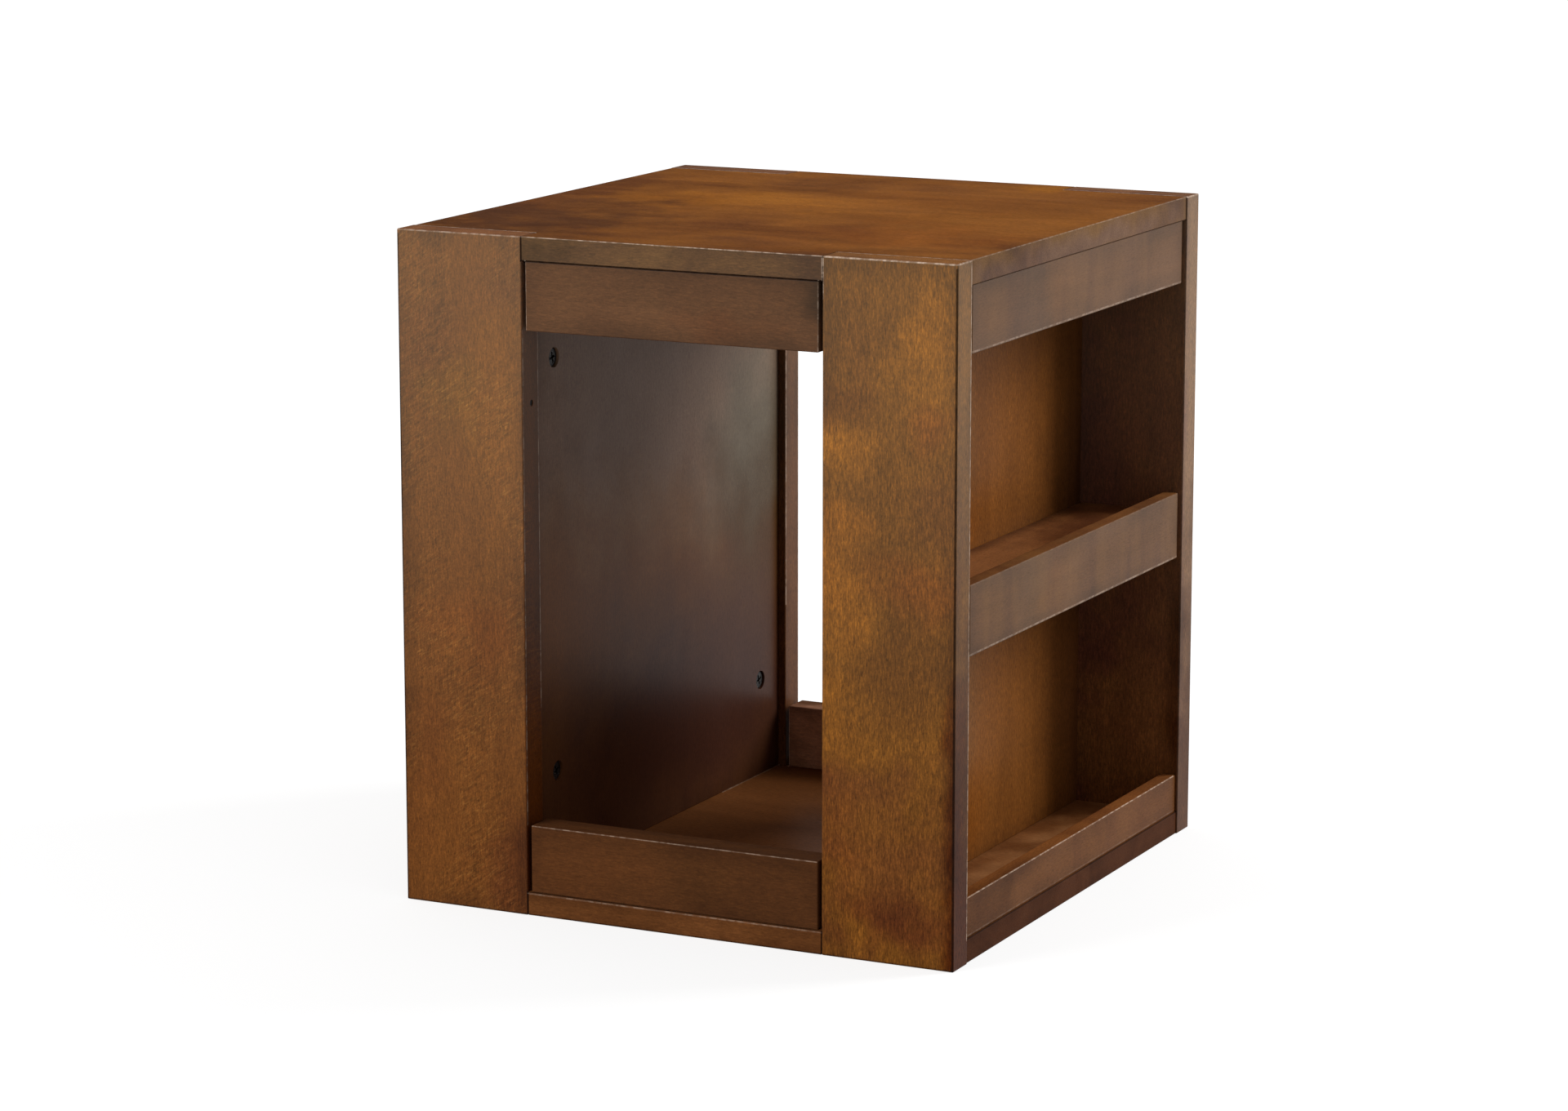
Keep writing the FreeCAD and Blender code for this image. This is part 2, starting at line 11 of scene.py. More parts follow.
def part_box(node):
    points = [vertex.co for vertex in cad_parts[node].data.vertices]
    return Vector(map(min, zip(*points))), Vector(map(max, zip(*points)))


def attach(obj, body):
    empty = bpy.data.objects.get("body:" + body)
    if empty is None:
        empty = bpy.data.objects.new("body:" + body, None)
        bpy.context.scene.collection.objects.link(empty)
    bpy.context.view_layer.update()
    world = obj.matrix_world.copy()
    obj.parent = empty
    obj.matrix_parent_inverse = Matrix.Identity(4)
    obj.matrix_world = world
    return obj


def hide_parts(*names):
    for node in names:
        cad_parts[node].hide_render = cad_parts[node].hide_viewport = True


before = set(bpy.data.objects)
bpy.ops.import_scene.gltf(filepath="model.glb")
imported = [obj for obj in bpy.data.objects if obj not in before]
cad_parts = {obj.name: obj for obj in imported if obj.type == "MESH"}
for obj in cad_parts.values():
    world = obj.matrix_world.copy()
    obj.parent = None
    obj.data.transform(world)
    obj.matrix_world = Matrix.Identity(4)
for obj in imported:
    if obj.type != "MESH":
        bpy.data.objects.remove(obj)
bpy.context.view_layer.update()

MM = 0.001


# Node trees

NODES_IN_A_ROW, NODE_WIDTH, NODE_HEIGHT = 12, 220, 300


class Recipe:
    """Lays out a node tree one step after another."""

    def __init__(self, tree):
        self.tree = tree
        tree.nodes.clear()

    def step(self, kind, feeds=None, **settings):
        """Adds a node, makes its settings, then feeds its sockets."""
        node = self.tree.nodes.new(kind)
        row, column = divmod(len(self.tree.nodes), NODES_IN_A_ROW)
        node.location = (column * NODE_WIDTH, -row * NODE_HEIGHT)
        for name, value in settings.items():
            setattr(node, name, value)
        for socket, value in (feeds or {}).items():
            self.feed(node.inputs[socket], value)
        return node

    def feed(self, socket, value):
        """Links a socket to another's result, or sets it to a plain value."""
        if isinstance(value, bpy.types.NodeSocket):
            self.tree.links.new(value, socket)
        else:
            socket.default_value = value

    def maths(self, operation, first, second=0.0):
        return self.step("ShaderNodeMath", {0: first, 1: second}, operation=operation).outputs[0]

    def total(self, *values):
        result = values[0]
        for value in values[1:]:
            result = self.maths("ADD", result, value)
        return result

    def product(self, *values):
        result = values[0]
        for value in values[1:]:
            result = self.maths("MULTIPLY", result, value)
        return result

    def vectors(self, operation, first, second=(0.0, 0.0, 0.0)):
        node = self.step("ShaderNodeVectorMath", {0: first, 1: second}, operation=operation)
        return node.outputs["Value" if operation == "LENGTH" else "Vector"]

    def combine(self, x, y, z):
        return self.step("ShaderNodeCombineXYZ", {0: x, 1: y, 2: z}).outputs[0]

    def split(self, vector):
        return self.step("ShaderNodeSeparateXYZ", {0: vector}).outputs

    def noise(self, place, per_metre, detail=2.0, roughness=0.5, distortion=0.0):
        """Even noise between 0 and 1, with its own number of waves per metre along each axis."""
        feeds = {
            "Vector": self.vectors("MULTIPLY", place, per_metre),
            "Scale": 1.0,
            "Detail": detail,
            "Roughness": roughness,
            "Distortion": distortion,
        }
        return self.step("ShaderNodeTexNoise", feeds).outputs["Fac"]

    def ramp(self, value, start, end, low=0.0, high=1.0):
        """Low up to start, high from end, with a smooth rise between."""
        feeds = {"Value": value, "From Min": start, "From Max": end, "To Min": low, "To Max": high}
        return self.step("ShaderNodeMapRange", feeds, interpolation_type="SMOOTHSTEP").outputs["Result"]

    def blend(self, share, first, second, how="MIX"):
        """First colour where share is 0, second where it is 1."""
        node = self.step("ShaderNodeMix", data_type="RGBA", blend_type=how, clamp_factor=True)
        self.feed(node.inputs["Factor"], share)
        colours = [socket for socket in node.inputs if socket.type == "RGBA"]
        self.feed(colours[0], first)
        self.feed(colours[1], second)
        return [socket for socket in node.outputs if socket.type == "RGBA"][0]

    def tinted(self, share, colour, tint):
        """Colour as it is where share is 0, multiplied by tint where it is 1."""
        return self.blend(share, colour, self.vectors("MULTIPLY", colour, tint))

    def swing(self, value, amount):
        """How far value is from a half, times amount."""
        return self.product(self.maths("SUBTRACT", value, 0.5), amount)

    def object_place(self):
        return self.step("ShaderNodeTexCoord").outputs["Object"]

    def bump(self, height, strength, distance):
        """Shading normal of a fine relief, as deep as distance in metres."""
        feeds = {"Strength": strength, "Distance": distance, "Height": height}
        return self.step("ShaderNodeBump", feeds).outputs[0]

    def surface(self, **feeds):
        """Principled surface. Names are the shader's own, with _ for a space."""
        named = {name.replace("_", " "): value for name, value in feeds.items()}
        shader = self.step("ShaderNodeBsdfPrincipled", named)
        self.step("ShaderNodeOutputMaterial", {"Surface": shader.outputs[0]})


def tone(red, green, blue):
    """Colour as seen on a screen, 0 to 255, turned into the renderer's own scale."""
    def plain(value):
        value /= 255
        return value / 12.92 if value <= 0.04045 else ((value + 0.055) / 1.055) ** 2.4
    return (plain(red), plain(green), plain(blue), 1.0)


def grey(level):
    """Grey in the renderer's own scale, where 1 is white."""
    return (level, level, level, 1.0)


def grained(along, across):
    """Waves per metre along a board's grain and across it."""
    return (along, across, across)


def even(count):
    """The same number of waves per metre each way."""
    return (count, count, count)


def group_tree(name, inputs, outputs, kind="ShaderNodeTree"):
    """New node group, with its recipe and its inner ends."""
    tree = bpy.data.node_groups.new(name, kind)
    for label, socket in inputs:
        tree.interface.new_socket(label, in_out="INPUT", socket_type="NodeSocket" + socket)
    for label, socket in outputs:
        tree.interface.new_socket(label, in_out="OUTPUT", socket_type="NodeSocket" + socket)
    recipe = Recipe(tree)
    return recipe, recipe.step("NodeGroupInput").outputs, recipe.step("NodeGroupOutput").inputs


def new_material(name):
    material = bpy.data.materials.new(name)
    material.use_nodes = True
    return material, Recipe(material.node_tree)


def millimetres(*values):
    return [value * MM for value in values]


def dress(node, material):
    """Puts one finish on the whole of a CAD node."""
    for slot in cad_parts[node].material_slots:
        slot.material = material


# Stained and lacquered wood

deep_glaze = tone(48, 25, 14)
# Colour of the light arris lines: rubbed-through lacquer, and painted highlight along arrises and joints
rubbed_lacquer_and_highlight = tone(214, 188, 166)
# Painted sheen: a grey added to upright faces in place of the lacquer reflecting the bright room
lacquer_haze = tone(66, 66, 56)
joint_shadow = tone(16, 9, 6)

# Factors that brighten the veneer's slanted strands and its golden dashes
strand_tint = (1.4, 1.65, 1.8)
golden_tint = (1.5, 1.48, 1.2)

# How far the darker glaze reaches from an arris, in metres
GLAZE_WIDTH = 0.018


def make_veneer_group():
    """Stained veneer: clouds, growth bands, dashes of grain, slanted ripple, soft bars, darker edges."""
    recipe, given, made = group_tree(
        "stained veneer",
        [
            ("Place", "Vector"),
            ("Half size", "Vector"),
            ("Board number", "Float"),
            ("Light stain", "Color"),
            ("Dark stain", "Color"),
            ("Clouds", "Float"),
            ("Streaks", "Float"),
            ("Bands", "Float"),
            ("Dashes", "Float"),
            ("Specks", "Float"),
            ("Ripple", "Float"),
            ("Bars", "Float"),
            ("Edge glaze", "Float"),
            ("Dullness", "Float"),
        ],
        [("Colour", "Color"), ("Roughness", "Float"), ("Height", "Float")],
    )
    # From one board's stretch of veneer to the next, in metres
    strides = (0.371, 1.133, 0.717)
    spread = recipe.combine(*[recipe.product(given["Board number"], stride) for stride in strides])
    place = recipe.vectors("ADD", given["Place"], spread)

    clouds = recipe.noise(place, grained(7.0, 15.0), detail=4.0, roughness=0.6, distortion=0.7)
    drift = recipe.noise(place, grained(2.2, 3.8), detail=1.0)
    streaks = recipe.noise(place, grained(12.0, 55.0), detail=3.0, roughness=0.6, distortion=0.5)
    bands = recipe.noise(place, grained(3.2, 130.0), detail=3.0, roughness=0.6, distortion=0.25)
    dashes = recipe.noise(place, grained(210.0, 1000.0), roughness=0.6, distortion=0.4)
    specks = recipe.noise(place, grained(560.0, 820.0), detail=1.5, roughness=0.6)
    fibres = recipe.noise(place, grained(40.0, 1500.0), detail=1.0)
    bars = recipe.noise(place, grained(26.0, 5.0), roughness=0.6, distortion=0.4)

    along, across, through = recipe.split(place)[:3]
    slant = 0.7
    slanted = recipe.combine(
        recipe.total(along, recipe.product(through, slant)),
        across,
        recipe.total(through, recipe.product(along, -slant)),
    )
    ripple = recipe.noise(slanted, grained(380.0, 70.0), distortion=0.7)
    strands = recipe.noise(slanted, grained(820.0, 130.0), distortion=1.2)
    ripple_area = recipe.ramp(recipe.noise(place, grained(9.0, 18.0), detail=1.0), 0.38, 0.58)

    mottle = recipe.total(
        recipe.swing(clouds, 0.65),
        recipe.swing(drift, 0.35),
        recipe.swing(streaks, given["Streaks"]),
    )
    share = recipe.total(recipe.product(mottle, given["Clouds"]), 0.5)
    colour = recipe.blend(share, given["Dark stain"], given["Light stain"])

    shade = recipe.total(
        1.0,
        recipe.swing(bands, given["Bands"]),
        recipe.swing(fibres, 0.16),
        recipe.product(recipe.swing(ripple, recipe.product(given["Ripple"], 0.6)), ripple_area),
        recipe.swing(dashes, given["Dashes"]),
        recipe.swing(specks, given["Specks"]),
        recipe.swing(bars, given["Bars"]),
    )
    greener = recipe.total(shade, recipe.swing(bars, recipe.product(given["Bars"], 0.3)))
    colour = recipe.vectors("MULTIPLY", colour, recipe.combine(shade, greener, shade))
    strand_share = recipe.product(recipe.ramp(strands, 0.53, 0.68), ripple_area, given["Ripple"], 0.5)
    colour = recipe.tinted(strand_share, colour, strand_tint)
    golden_share = recipe.product(recipe.ramp(dashes, 0.52, 0.68), given["Dashes"], 0.28)
    colour = recipe.tinted(golden_share, colour, golden_tint)
    open_grain = recipe.ramp(dashes, 0.30, 0.45, low=1.0, high=0.0)
    colour = recipe.blend(recipe.product(open_grain, given["Dashes"], 0.12), colour, deep_glaze)

    to_faces = recipe.vectors("SUBTRACT", given["Half size"], recipe.vectors("ABSOLUTE", given["Place"]))
    along, across, through = recipe.split(to_faces)[:3]
    inner_pair = recipe.maths("MINIMUM", recipe.maths("MAXIMUM", along, across), through)
    to_arris = recipe.maths("MAXIMUM", recipe.maths("MINIMUM", along, across), inner_pair)
    glaze = recipe.product(
        recipe.ramp(to_arris, 0.0, GLAZE_WIDTH, low=1.0, high=0.0),
        recipe.ramp(clouds, 0.3, 0.6, low=1.0, high=0.3),
        given["Edge glaze"],
    )
    recipe.feed(made["Colour"], recipe.blend(glaze, colour, deep_glaze))
    uneven = recipe.ramp(clouds, 0.3, 0.7, low=0.03, high=-0.03)
    rough = recipe.total(recipe.product(open_grain, 0.08), uneven)
    recipe.feed(made["Roughness"], recipe.total(rough, given["Dullness"]))
    recipe.feed(made["Height"], recipe.total(recipe.product(dashes, 0.7), recipe.product(fibres, 0.3)))
    return recipe.tree


def make_patch_group():
    """Soft irregular patch: 1 at its heart, 0 past its reach."""
    recipe, given, made = group_tree(
        "soft patch",
        [("Place", "Vector"), ("Heart", "Vector"), ("Reach", "Vector"), ("Wander", "Float")],
        [("Share", "Float")],
    )
    wander = recipe.step("ShaderNodeTexNoise", {"Vector": given["Place"], "Scale": 26.0, "Detail": 3.0})
    wander = recipe.vectors("SUBTRACT", wander.outputs["Color"], (0.5, 0.5, 0.5))
    amount = recipe.combine(given["Wander"], given["Wander"], given["Wander"])
    wander = recipe.vectors("MULTIPLY", recipe.vectors("MULTIPLY", wander, given["Reach"]), amount)
    place = recipe.vectors("ADD", given["Place"], wander)
    away = recipe.vectors("DIVIDE", recipe.vectors("SUBTRACT", place, given["Heart"]), given["Reach"])
    recipe.feed(made["Share"], recipe.ramp(recipe.vectors("LENGTH", away), 0.15, 1.0, low=1.0, high=0.0))
    return recipe.tree


def make_line_group():
    """Thin straight line along one edge: 1 on the line, 0 past its width, broken up by Breaks."""
    recipe, given, made = group_tree(
        "edge line",
        [
            ("Place", "Vector"),
            ("Middle", "Vector"),
            ("Half length", "Vector"),
            ("Width", "Float"),
            ("Breaks", "Float"),
        ],
        [("Share", "Float")],
    )
    away = recipe.vectors("ABSOLUTE", recipe.vectors("SUBTRACT", given["Place"], given["Middle"]))
    away = recipe.vectors("MAXIMUM", recipe.vectors("SUBTRACT", away, given["Half length"]))
    ratio = recipe.maths("DIVIDE", recipe.vectors("LENGTH", away), given["Width"])
    line = recipe.ramp(ratio, 0.6, 1.0, low=1.0, high=0.0)
    worn = recipe.ramp(recipe.noise(given["Place"], even(130.0), detail=3.0, roughness=0.7), 0.40, 0.62)
    kept = recipe.total(recipe.product(recipe.maths("SUBTRACT", worn, 1.0), given["Breaks"]), 1.0)
    recipe.feed(made["Share"], recipe.product(line, kept))
    return recipe.tree


veneer_group = make_veneer_group()
patch_group = make_patch_group()
line_group = make_line_group()

# The table's outline in millimetres: faces of posts, panels, walls and rails, joints, sides of the door
POST_X, POST_Y, TOP_Z = 225, 230, 508
TUNNEL_X, BAY_Y = 121, 205
TOP_JOINT_Z, BASE_JOINT_Z = 490, 18
PANEL_X, SIDE_X, WALL_X, RAIL_X, RAIL_INNER_Y = 224, 223, 127, 117.8, 204.6
APRON_LOW_Z, SIDE_APRON_LOW_Z, RAIL_TOP_Z = 439, 441, 69
LIP_LOW_Z, LIP_TOP_Z, FOOT_LIP_TOP_Z = 224, 276, 48
DOOR_LOW_Z, DOOR_FRONT_Y, DOOR_REAR_Y = 20, -203, 202.3

# Where some of the lines start and end, and how far a light line lies beside a joint, in millimetres. The
# light lines are rubbed lacquer and painted highlight; the one on the tunnel side of the posts stops low
# down, where shade falls.
FLOOR_LINE_Z, OUTLINE_X, OUTLINE_TOP_Z = 0.5, POST_X - 0.6, TOP_Z - 4
NOTCH_BRIGHT_LINE_Z, TUNNEL_BRIGHT_LINE_Z, BRIGHT_LINE_TOP_Z, SIDE_BRIGHT_LINE_Y = TOP_Z - 30, 154, TOP_Z - 2, BAY_Y - 4
BESIDE = 1.4
BOTH = (-1, 1)

# A line has two ends and a width in millimetres, and a strength from 0 to 1
Line = namedtuple("Line", "start end strength width")

# How near a line has to pass to be drawn on a board, in millimetres
LINE_MARGIN = 0.9

# How much the two kinds of line are broken up, from 0 to 1
JOINT_BREAKS, RUBBED_AND_HIGHLIGHT_BREAKS = 0.15, 0.75


def joint_lines():
    """Dark lines where boards meet, and along the outer arrises."""
    lines = []
    for y in (-POST_Y, POST_Y):
        lines.append(Line((-TUNNEL_X, y, TOP_JOINT_Z), (TUNNEL_X, y, TOP_JOINT_Z), 0.95, 1.1))
        lines.append(Line((-TUNNEL_X, y, BASE_JOINT_Z), (TUNNEL_X, y, BASE_JOINT_Z), 0.9, 0.9))
        lines.append(Line((-POST_X, y, FLOOR_LINE_Z), (POST_X, y, FLOOR_LINE_Z), 0.6, 1.1))
        for x in (-TUNNEL_X, TUNNEL_X):
            lines.append(Line((x, y, TOP_JOINT_Z), (x, y, TOP_Z), 0.9, 0.9))
            lines.append(Line((x, y, 0), (x, y, BASE_JOINT_Z), 0.9, 0.9))
        for x in (-OUTLINE_X, OUTLINE_X):
            lines.append(Line((x, y, 0), (x, y, OUTLINE_TOP_Z), 0.8, 1.2))
    for side in BOTH:
        panel_x, tunnel_x, post_x = side * PANEL_X, side * TUNNEL_X, side * POST_X
        lines.append(Line((panel_x, -BAY_Y, TOP_JOINT_Z), (panel_x, BAY_Y, TOP_JOINT_Z), 0.55, 0.9))
        lines.append(Line((panel_x, -BAY_Y, BASE_JOINT_Z), (panel_x, BAY_Y, BASE_JOINT_Z), 0.7, 0.9))
        for end in BOTH:
            y = end * BAY_Y
            lines.append(Line((tunnel_x, y, TOP_Z), (post_x, y, TOP_Z), 0.7, 0.8))
            lines.append(Line((tunnel_x, y, TOP_Z), (tunnel_x, end * POST_Y, TOP_Z), 0.7, 0.8))
            lines.append(Line((post_x, y, 0), (post_x, y, TOP_Z), 0.6, 1.1))
    return lines


def rubbed_and_highlight_lines():
    """Arrises where the stain is rubbed through, and painted highlights along arrises and joints, all drawn
    as light broken lines.
    """
    lines = []
    front_y, foot_z = -BAY_Y - BESIDE, BASE_JOINT_Z - BESIDE
    for y in (-POST_Y, POST_Y):
        inner_y = math.copysign(RAIL_INNER_Y, y)
        lines.append(Line((-TUNNEL_X, y, TOP_Z), (TUNNEL_X, y, TOP_Z), 0.8, 0.9))
        lines.append(Line((TUNNEL_X, y, TOP_Z), (POST_X, y, TOP_Z), 1.0, 1.3))
        lines.append(Line((-POST_X, y, TOP_Z), (-TUNNEL_X, y, TOP_Z), 0.5, 1.2))
        lines.append(Line((-RAIL_X, y, RAIL_TOP_Z), (RAIL_X, y, RAIL_TOP_Z), 0.4, 1.1))
        lines.append(Line((TUNNEL_X, y, NOTCH_BRIGHT_LINE_Z), (TUNNEL_X, y, BRIGHT_LINE_TOP_Z), 0.7, 1.2))
        lines.append(Line((-TUNNEL_X, y, foot_z), (TUNNEL_X, y, foot_z), 0.3, 0.8))
        for x in (-RAIL_X, RAIL_X):
            lines.append(Line((x, y, APRON_LOW_Z), (x, y, TOP_JOINT_Z), 0.5, 1.1))
            lines.append(Line((x, inner_y, BASE_JOINT_Z), (x, inner_y, RAIL_TOP_Z), 0.7, 1.1))
    for side in BOTH:
        panel_x, tunnel_x, post_x, wall_x = side * PANEL_X, side * TUNNEL_X, side * POST_X, side * WALL_X
        # Painted highlight along the foot of the tunnel wall, towards the rear
        lines.append(Line((wall_x, BAY_Y / 2, BASE_JOINT_Z), (wall_x, BAY_Y, BASE_JOINT_Z), 0.4, 0.9))
        lines.append(Line((panel_x, -BAY_Y, TOP_Z), (panel_x, BAY_Y, TOP_Z), 0.25, 0.8))
        lines.append(Line((post_x, front_y, BASE_JOINT_Z), (post_x, front_y, BRIGHT_LINE_TOP_Z), 0.6, 0.9))
        for end in BOTH:
            near_y, far_y = end * (BAY_Y + BESIDE), end * (POST_Y - BESIDE)
            lines.append(Line((post_x, end * BAY_Y, TOP_Z), (post_x, end * POST_Y, TOP_Z), 0.7, 1.3))
            lines.append(Line((tunnel_x, near_y, TOP_Z), (post_x, near_y, TOP_Z), 0.65, 0.9))
            # Painted highlight down the tunnel side of the posts, ending low down where shade falls
            lines.append(Line((tunnel_x, near_y, TUNNEL_BRIGHT_LINE_Z), (tunnel_x, near_y, APRON_LOW_Z), 0.5, 0.9))
            lines.append(Line((tunnel_x, far_y, RAIL_TOP_Z), (tunnel_x, far_y, APRON_LOW_Z), 0.4, 0.9))
    for z, strength in (
        (SIDE_APRON_LOW_Z + BESIDE, 0.3), (LIP_LOW_Z + BESIDE, 0.35), (LIP_TOP_Z, 0.1),
        (FOOT_LIP_TOP_Z, 0.6), (BASE_JOINT_Z + BESIDE, 0.12),
    ):
        lines.append(Line((SIDE_X, -SIDE_BRIGHT_LINE_Y, z), (SIDE_X, SIDE_BRIGHT_LINE_Y, z), strength, 0.9))
    for z in (DOOR_LOW_Z, APRON_LOW_Z):
        lines.append(Line((-SIDE_X, DOOR_FRONT_Y, z), (-SIDE_X, DOOR_REAR_Y, z), 0.4, 1.2))
    for y in (DOOR_FRONT_Y, DOOR_REAR_Y):
        lines.append(Line((-SIDE_X, y, DOOR_LOW_Z), (-SIDE_X, y, APRON_LOW_Z), 0.4, 1.2))
    return lines


def lines_on(node, lines):
    """The lines that touch one board."""
    low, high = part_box(node)
    found = []
    for line in lines:
        touching = True
        for axis in range(3):
            first, last = sorted((line.start[axis], line.end[axis]))
            if last < low[axis] / MM - LINE_MARGIN or first > high[axis] / MM + LINE_MARGIN:
                touching = False
        if touching:
            found.append(line)
    return found


def draw_line(recipe, here, colour, tint, breaks, line):
    """Colour with one line over it."""
    drawn = recipe.step("ShaderNodeGroup", node_tree=line_group, feeds={
        "Place": here,
        "Middle": (Vector(line.start) + Vector(line.end)) / 2 * MM,
        "Half length": [abs(last - first) / 2 * MM for first, last in zip(line.start, line.end)],
        "Width": line.width * MM,
        "Breaks": breaks,
    })
    return recipe.blend(recipe.product(drawn.outputs["Share"], line.strength), colour, tint)


GRAIN_TURNS = {
    "x": Euler((0.0, 0.0, 0.0)),
    "y": Euler((0.0, 0.0, math.radians(-90))),
    "z": Euler((0.0, math.radians(90), 0.0)),
}

# How much of each mark the stained veneer shows, and how dull its lacquer is
VENEER_HABITS = {
    "clouds": 1.6,
    "streaks": 0.25,
    "bands": 0.35,
    "dashes": 0.7,
    "specks": 0.4,
    "ripple": 0.2,
    "bars": 0.0,
    "edge_glaze": 0.5,
    "dullness": 0.38,
}

# What lies over the veneer, painted sheen, painted edge light and painted top light among it. A patch has
# its heart and its reach in millimetres, its tint, and its strength; some patches are painted shade and
# shadow, others painted sheen and reflection.
BOARD_HABITS = {
    **VENEER_HABITS,
    "gloss": 0.06,
    "haze": 0.0,
    "edge_tint": None,
    "edge_axes": "X",
    "top_tint": None,
    "top_dullness": None,
    "patches": (),
    "wander": 1.6,
}

# Heights in metres between which the painted sheen on upright faces sets in
SHEEN_LOW_Z, SHEEN_HIGH_Z = 0.03, 0.52
# Up to the first depth below its edge face a board has its painted edge light, and from the second none, in
# metres
PAINTED_EDGE_LIGHT_DEPTHS = (0.0003, 0.001)


def stain_board(node, number, grain, light, dark, **habits):
    """Gives one board its own stained finish, with painted sheen, painted shade and painted highlights laid
    over it where its habits ask.

    The pattern is centred on the board and turned along its grain. The number gives each board its own
    stretch of veneer. Light and dark are its stain's two colours as seen on a screen.
    """
    habit = {**BOARD_HABITS, **habits}
    low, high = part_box(node)
    turn = GRAIN_TURNS[grain].to_matrix()
    middle = (low + high) / 2
    half = (high - low) / 2
    material, recipe = new_material("stained " + node.replace("_", " "))
    here = recipe.object_place()
    mapping = recipe.step(
        "ShaderNodeMapping", {"Vector": here, "Location": -(turn @ middle), "Rotation": GRAIN_TURNS[grain]})
    veneer = recipe.step("ShaderNodeGroup", node_tree=veneer_group, feeds={
        "Place": mapping.outputs[0],
        "Half size": [abs(value) for value in turn @ half],
        "Board number": number,
        "Light stain": tone(*light),
        "Dark stain": tone(*dark),
        **{name.replace("_", " ").capitalize(): habit[name] for name in VENEER_HABITS},
    })
    colour = veneer.outputs["Colour"]
    rough = veneer.outputs["Roughness"]

    for heart, reach, tint, strength in habit["patches"]:
        patch = recipe.step("ShaderNodeGroup", node_tree=patch_group, feeds={
            "Place": here,
            "Heart": millimetres(*heart),
            "Reach": millimetres(*reach),
            "Wander": habit["wander"],
        })
        colour = recipe.tinted(recipe.product(patch.outputs["Share"], strength), colour, tint)

    # Painted edge light: a tint on the faces of the edge axes, lighter and bluer as painted sheen on some
    # boards, darker as painted shade on others
    if habit["edge_tint"]:
        away = recipe.vectors("ABSOLUTE", recipe.vectors("SUBTRACT", here, middle))
        to_faces = recipe.split(recipe.vectors("SUBTRACT", half, away))
        nearest = to_faces[habit["edge_axes"][0]]
        for axis in habit["edge_axes"][1:]:
            nearest = recipe.maths("MINIMUM", nearest, to_faces[axis])
        on_edge = recipe.ramp(nearest, *PAINTED_EDGE_LIGHT_DEPTHS, low=1.0, high=0.0)
        colour = recipe.tinted(on_edge, colour, habit["edge_tint"])

    # 1 on a top face, 0 on an upright one, -1 on an underside
    facing = recipe.split(recipe.step("ShaderNodeTexCoord").outputs["Normal"])["Z"]
    upward = recipe.ramp(facing, 0.8, 0.95)
    # Painted light on top faces: tops made lighter than the board's upright faces
    if habit["top_tint"]:
        colour = recipe.tinted(upward, colour, habit["top_tint"])
    if habit["top_dullness"]:
        rough = recipe.total(rough, recipe.product(upward, habit["top_dullness"] - habit["dullness"]))
    # Painted sheen: grey added to upright faces, more of it higher up, standing in for reflected light
    if habit["haze"]:
        upright = recipe.ramp(recipe.maths("ABSOLUTE", facing), 0.5, 0.9, low=1.0, high=0.0)
        risen = recipe.ramp(recipe.split(here)["Z"], SHEEN_LOW_Z, SHEEN_HIGH_Z)
        colour = recipe.blend(recipe.product(risen, upright, habit["haze"]), colour, lacquer_haze, "ADD")

    for line in lines_on(node, joint_lines()):
        colour = draw_line(recipe, here, colour, joint_shadow, JOINT_BREAKS, line)
    # Light lines: rubbed lacquer and painted highlights
    for line in lines_on(node, rubbed_and_highlight_lines()):
        colour = draw_line(recipe, here, colour, rubbed_lacquer_and_highlight, RUBBED_AND_HIGHLIGHT_BREAKS, line)

    recipe.surface(
        Base_Color=colour,
        Roughness=rough,
        Specular_IOR_Level=habit["gloss"],
        Normal=recipe.bump(veneer.outputs["Height"], strength=0.35, distance=0.00012),
    )
    dress(node, material)


# Boards: the sheen amounts paint a sheen onto upright faces, and edge and top light paint light and shade
# onto edges and tops
stain_board(
    "tabletop", 1, "x", (140, 84, 22), (84, 43, 10), clouds=2.0, streaks=0.3, bands=0.2, gloss=0.02,
    dullness=0.75, edge_glaze=0.2, dashes=0.8, specks=0.5, bars=0.2, haze=0.5,
    # Painted sheen on the tabletop's edge faces
    edge_tint=(0.82, 1.15, 4.2), edge_axes="XY",
    patches=(
        ((-165, -140, 508), (150, 160, 90), (0.42, 0.37, 0.3), 1.0),
        ((-215, 10, 508), (70, 260, 90), (0.56, 0.48, 0.42), 1.0),
        ((-130, -45, 508), (56, 46, 90), (0.72, 0.68, 0.7), 0.9),
        ((-65, 155, 508), (80, 90, 90), (0.72, 0.68, 0.6), 1.0),
        ((38, 165, 508), (40, 36, 90), (0.74, 0.7, 0.75), 0.9),
        ((-12, -105, 508), (44, 70, 90), (0.76, 0.7, 0.82), 0.9),
        ((42, -182, 508), (60, 40, 90), (0.72, 0.68, 0.75), 0.9),
        ((76, -85, 508), (38, 26, 90), (0.78, 0.74, 0.8), 0.9),
        ((-75, 30, 508), (110, 80, 90), (1.35, 1.38, 1.1), 0.9),
        ((60, 80, 508), (130, 90, 90), (1.15, 1.15, 1.15), 0.9),
        ((106, 198, 508), (34, 32, 90), (1.35, 1.4, 0.8), 0.9),
        ((130, -110, 508), (130, 110, 90), (1.2, 1.12, 1.0), 0.9),
        # Painted sheen on the tabletop's right edge face
        ((224, 0, 493), (12, 420, 17), (0.92, 1.03, 1.9), 1.0),
    ),
)
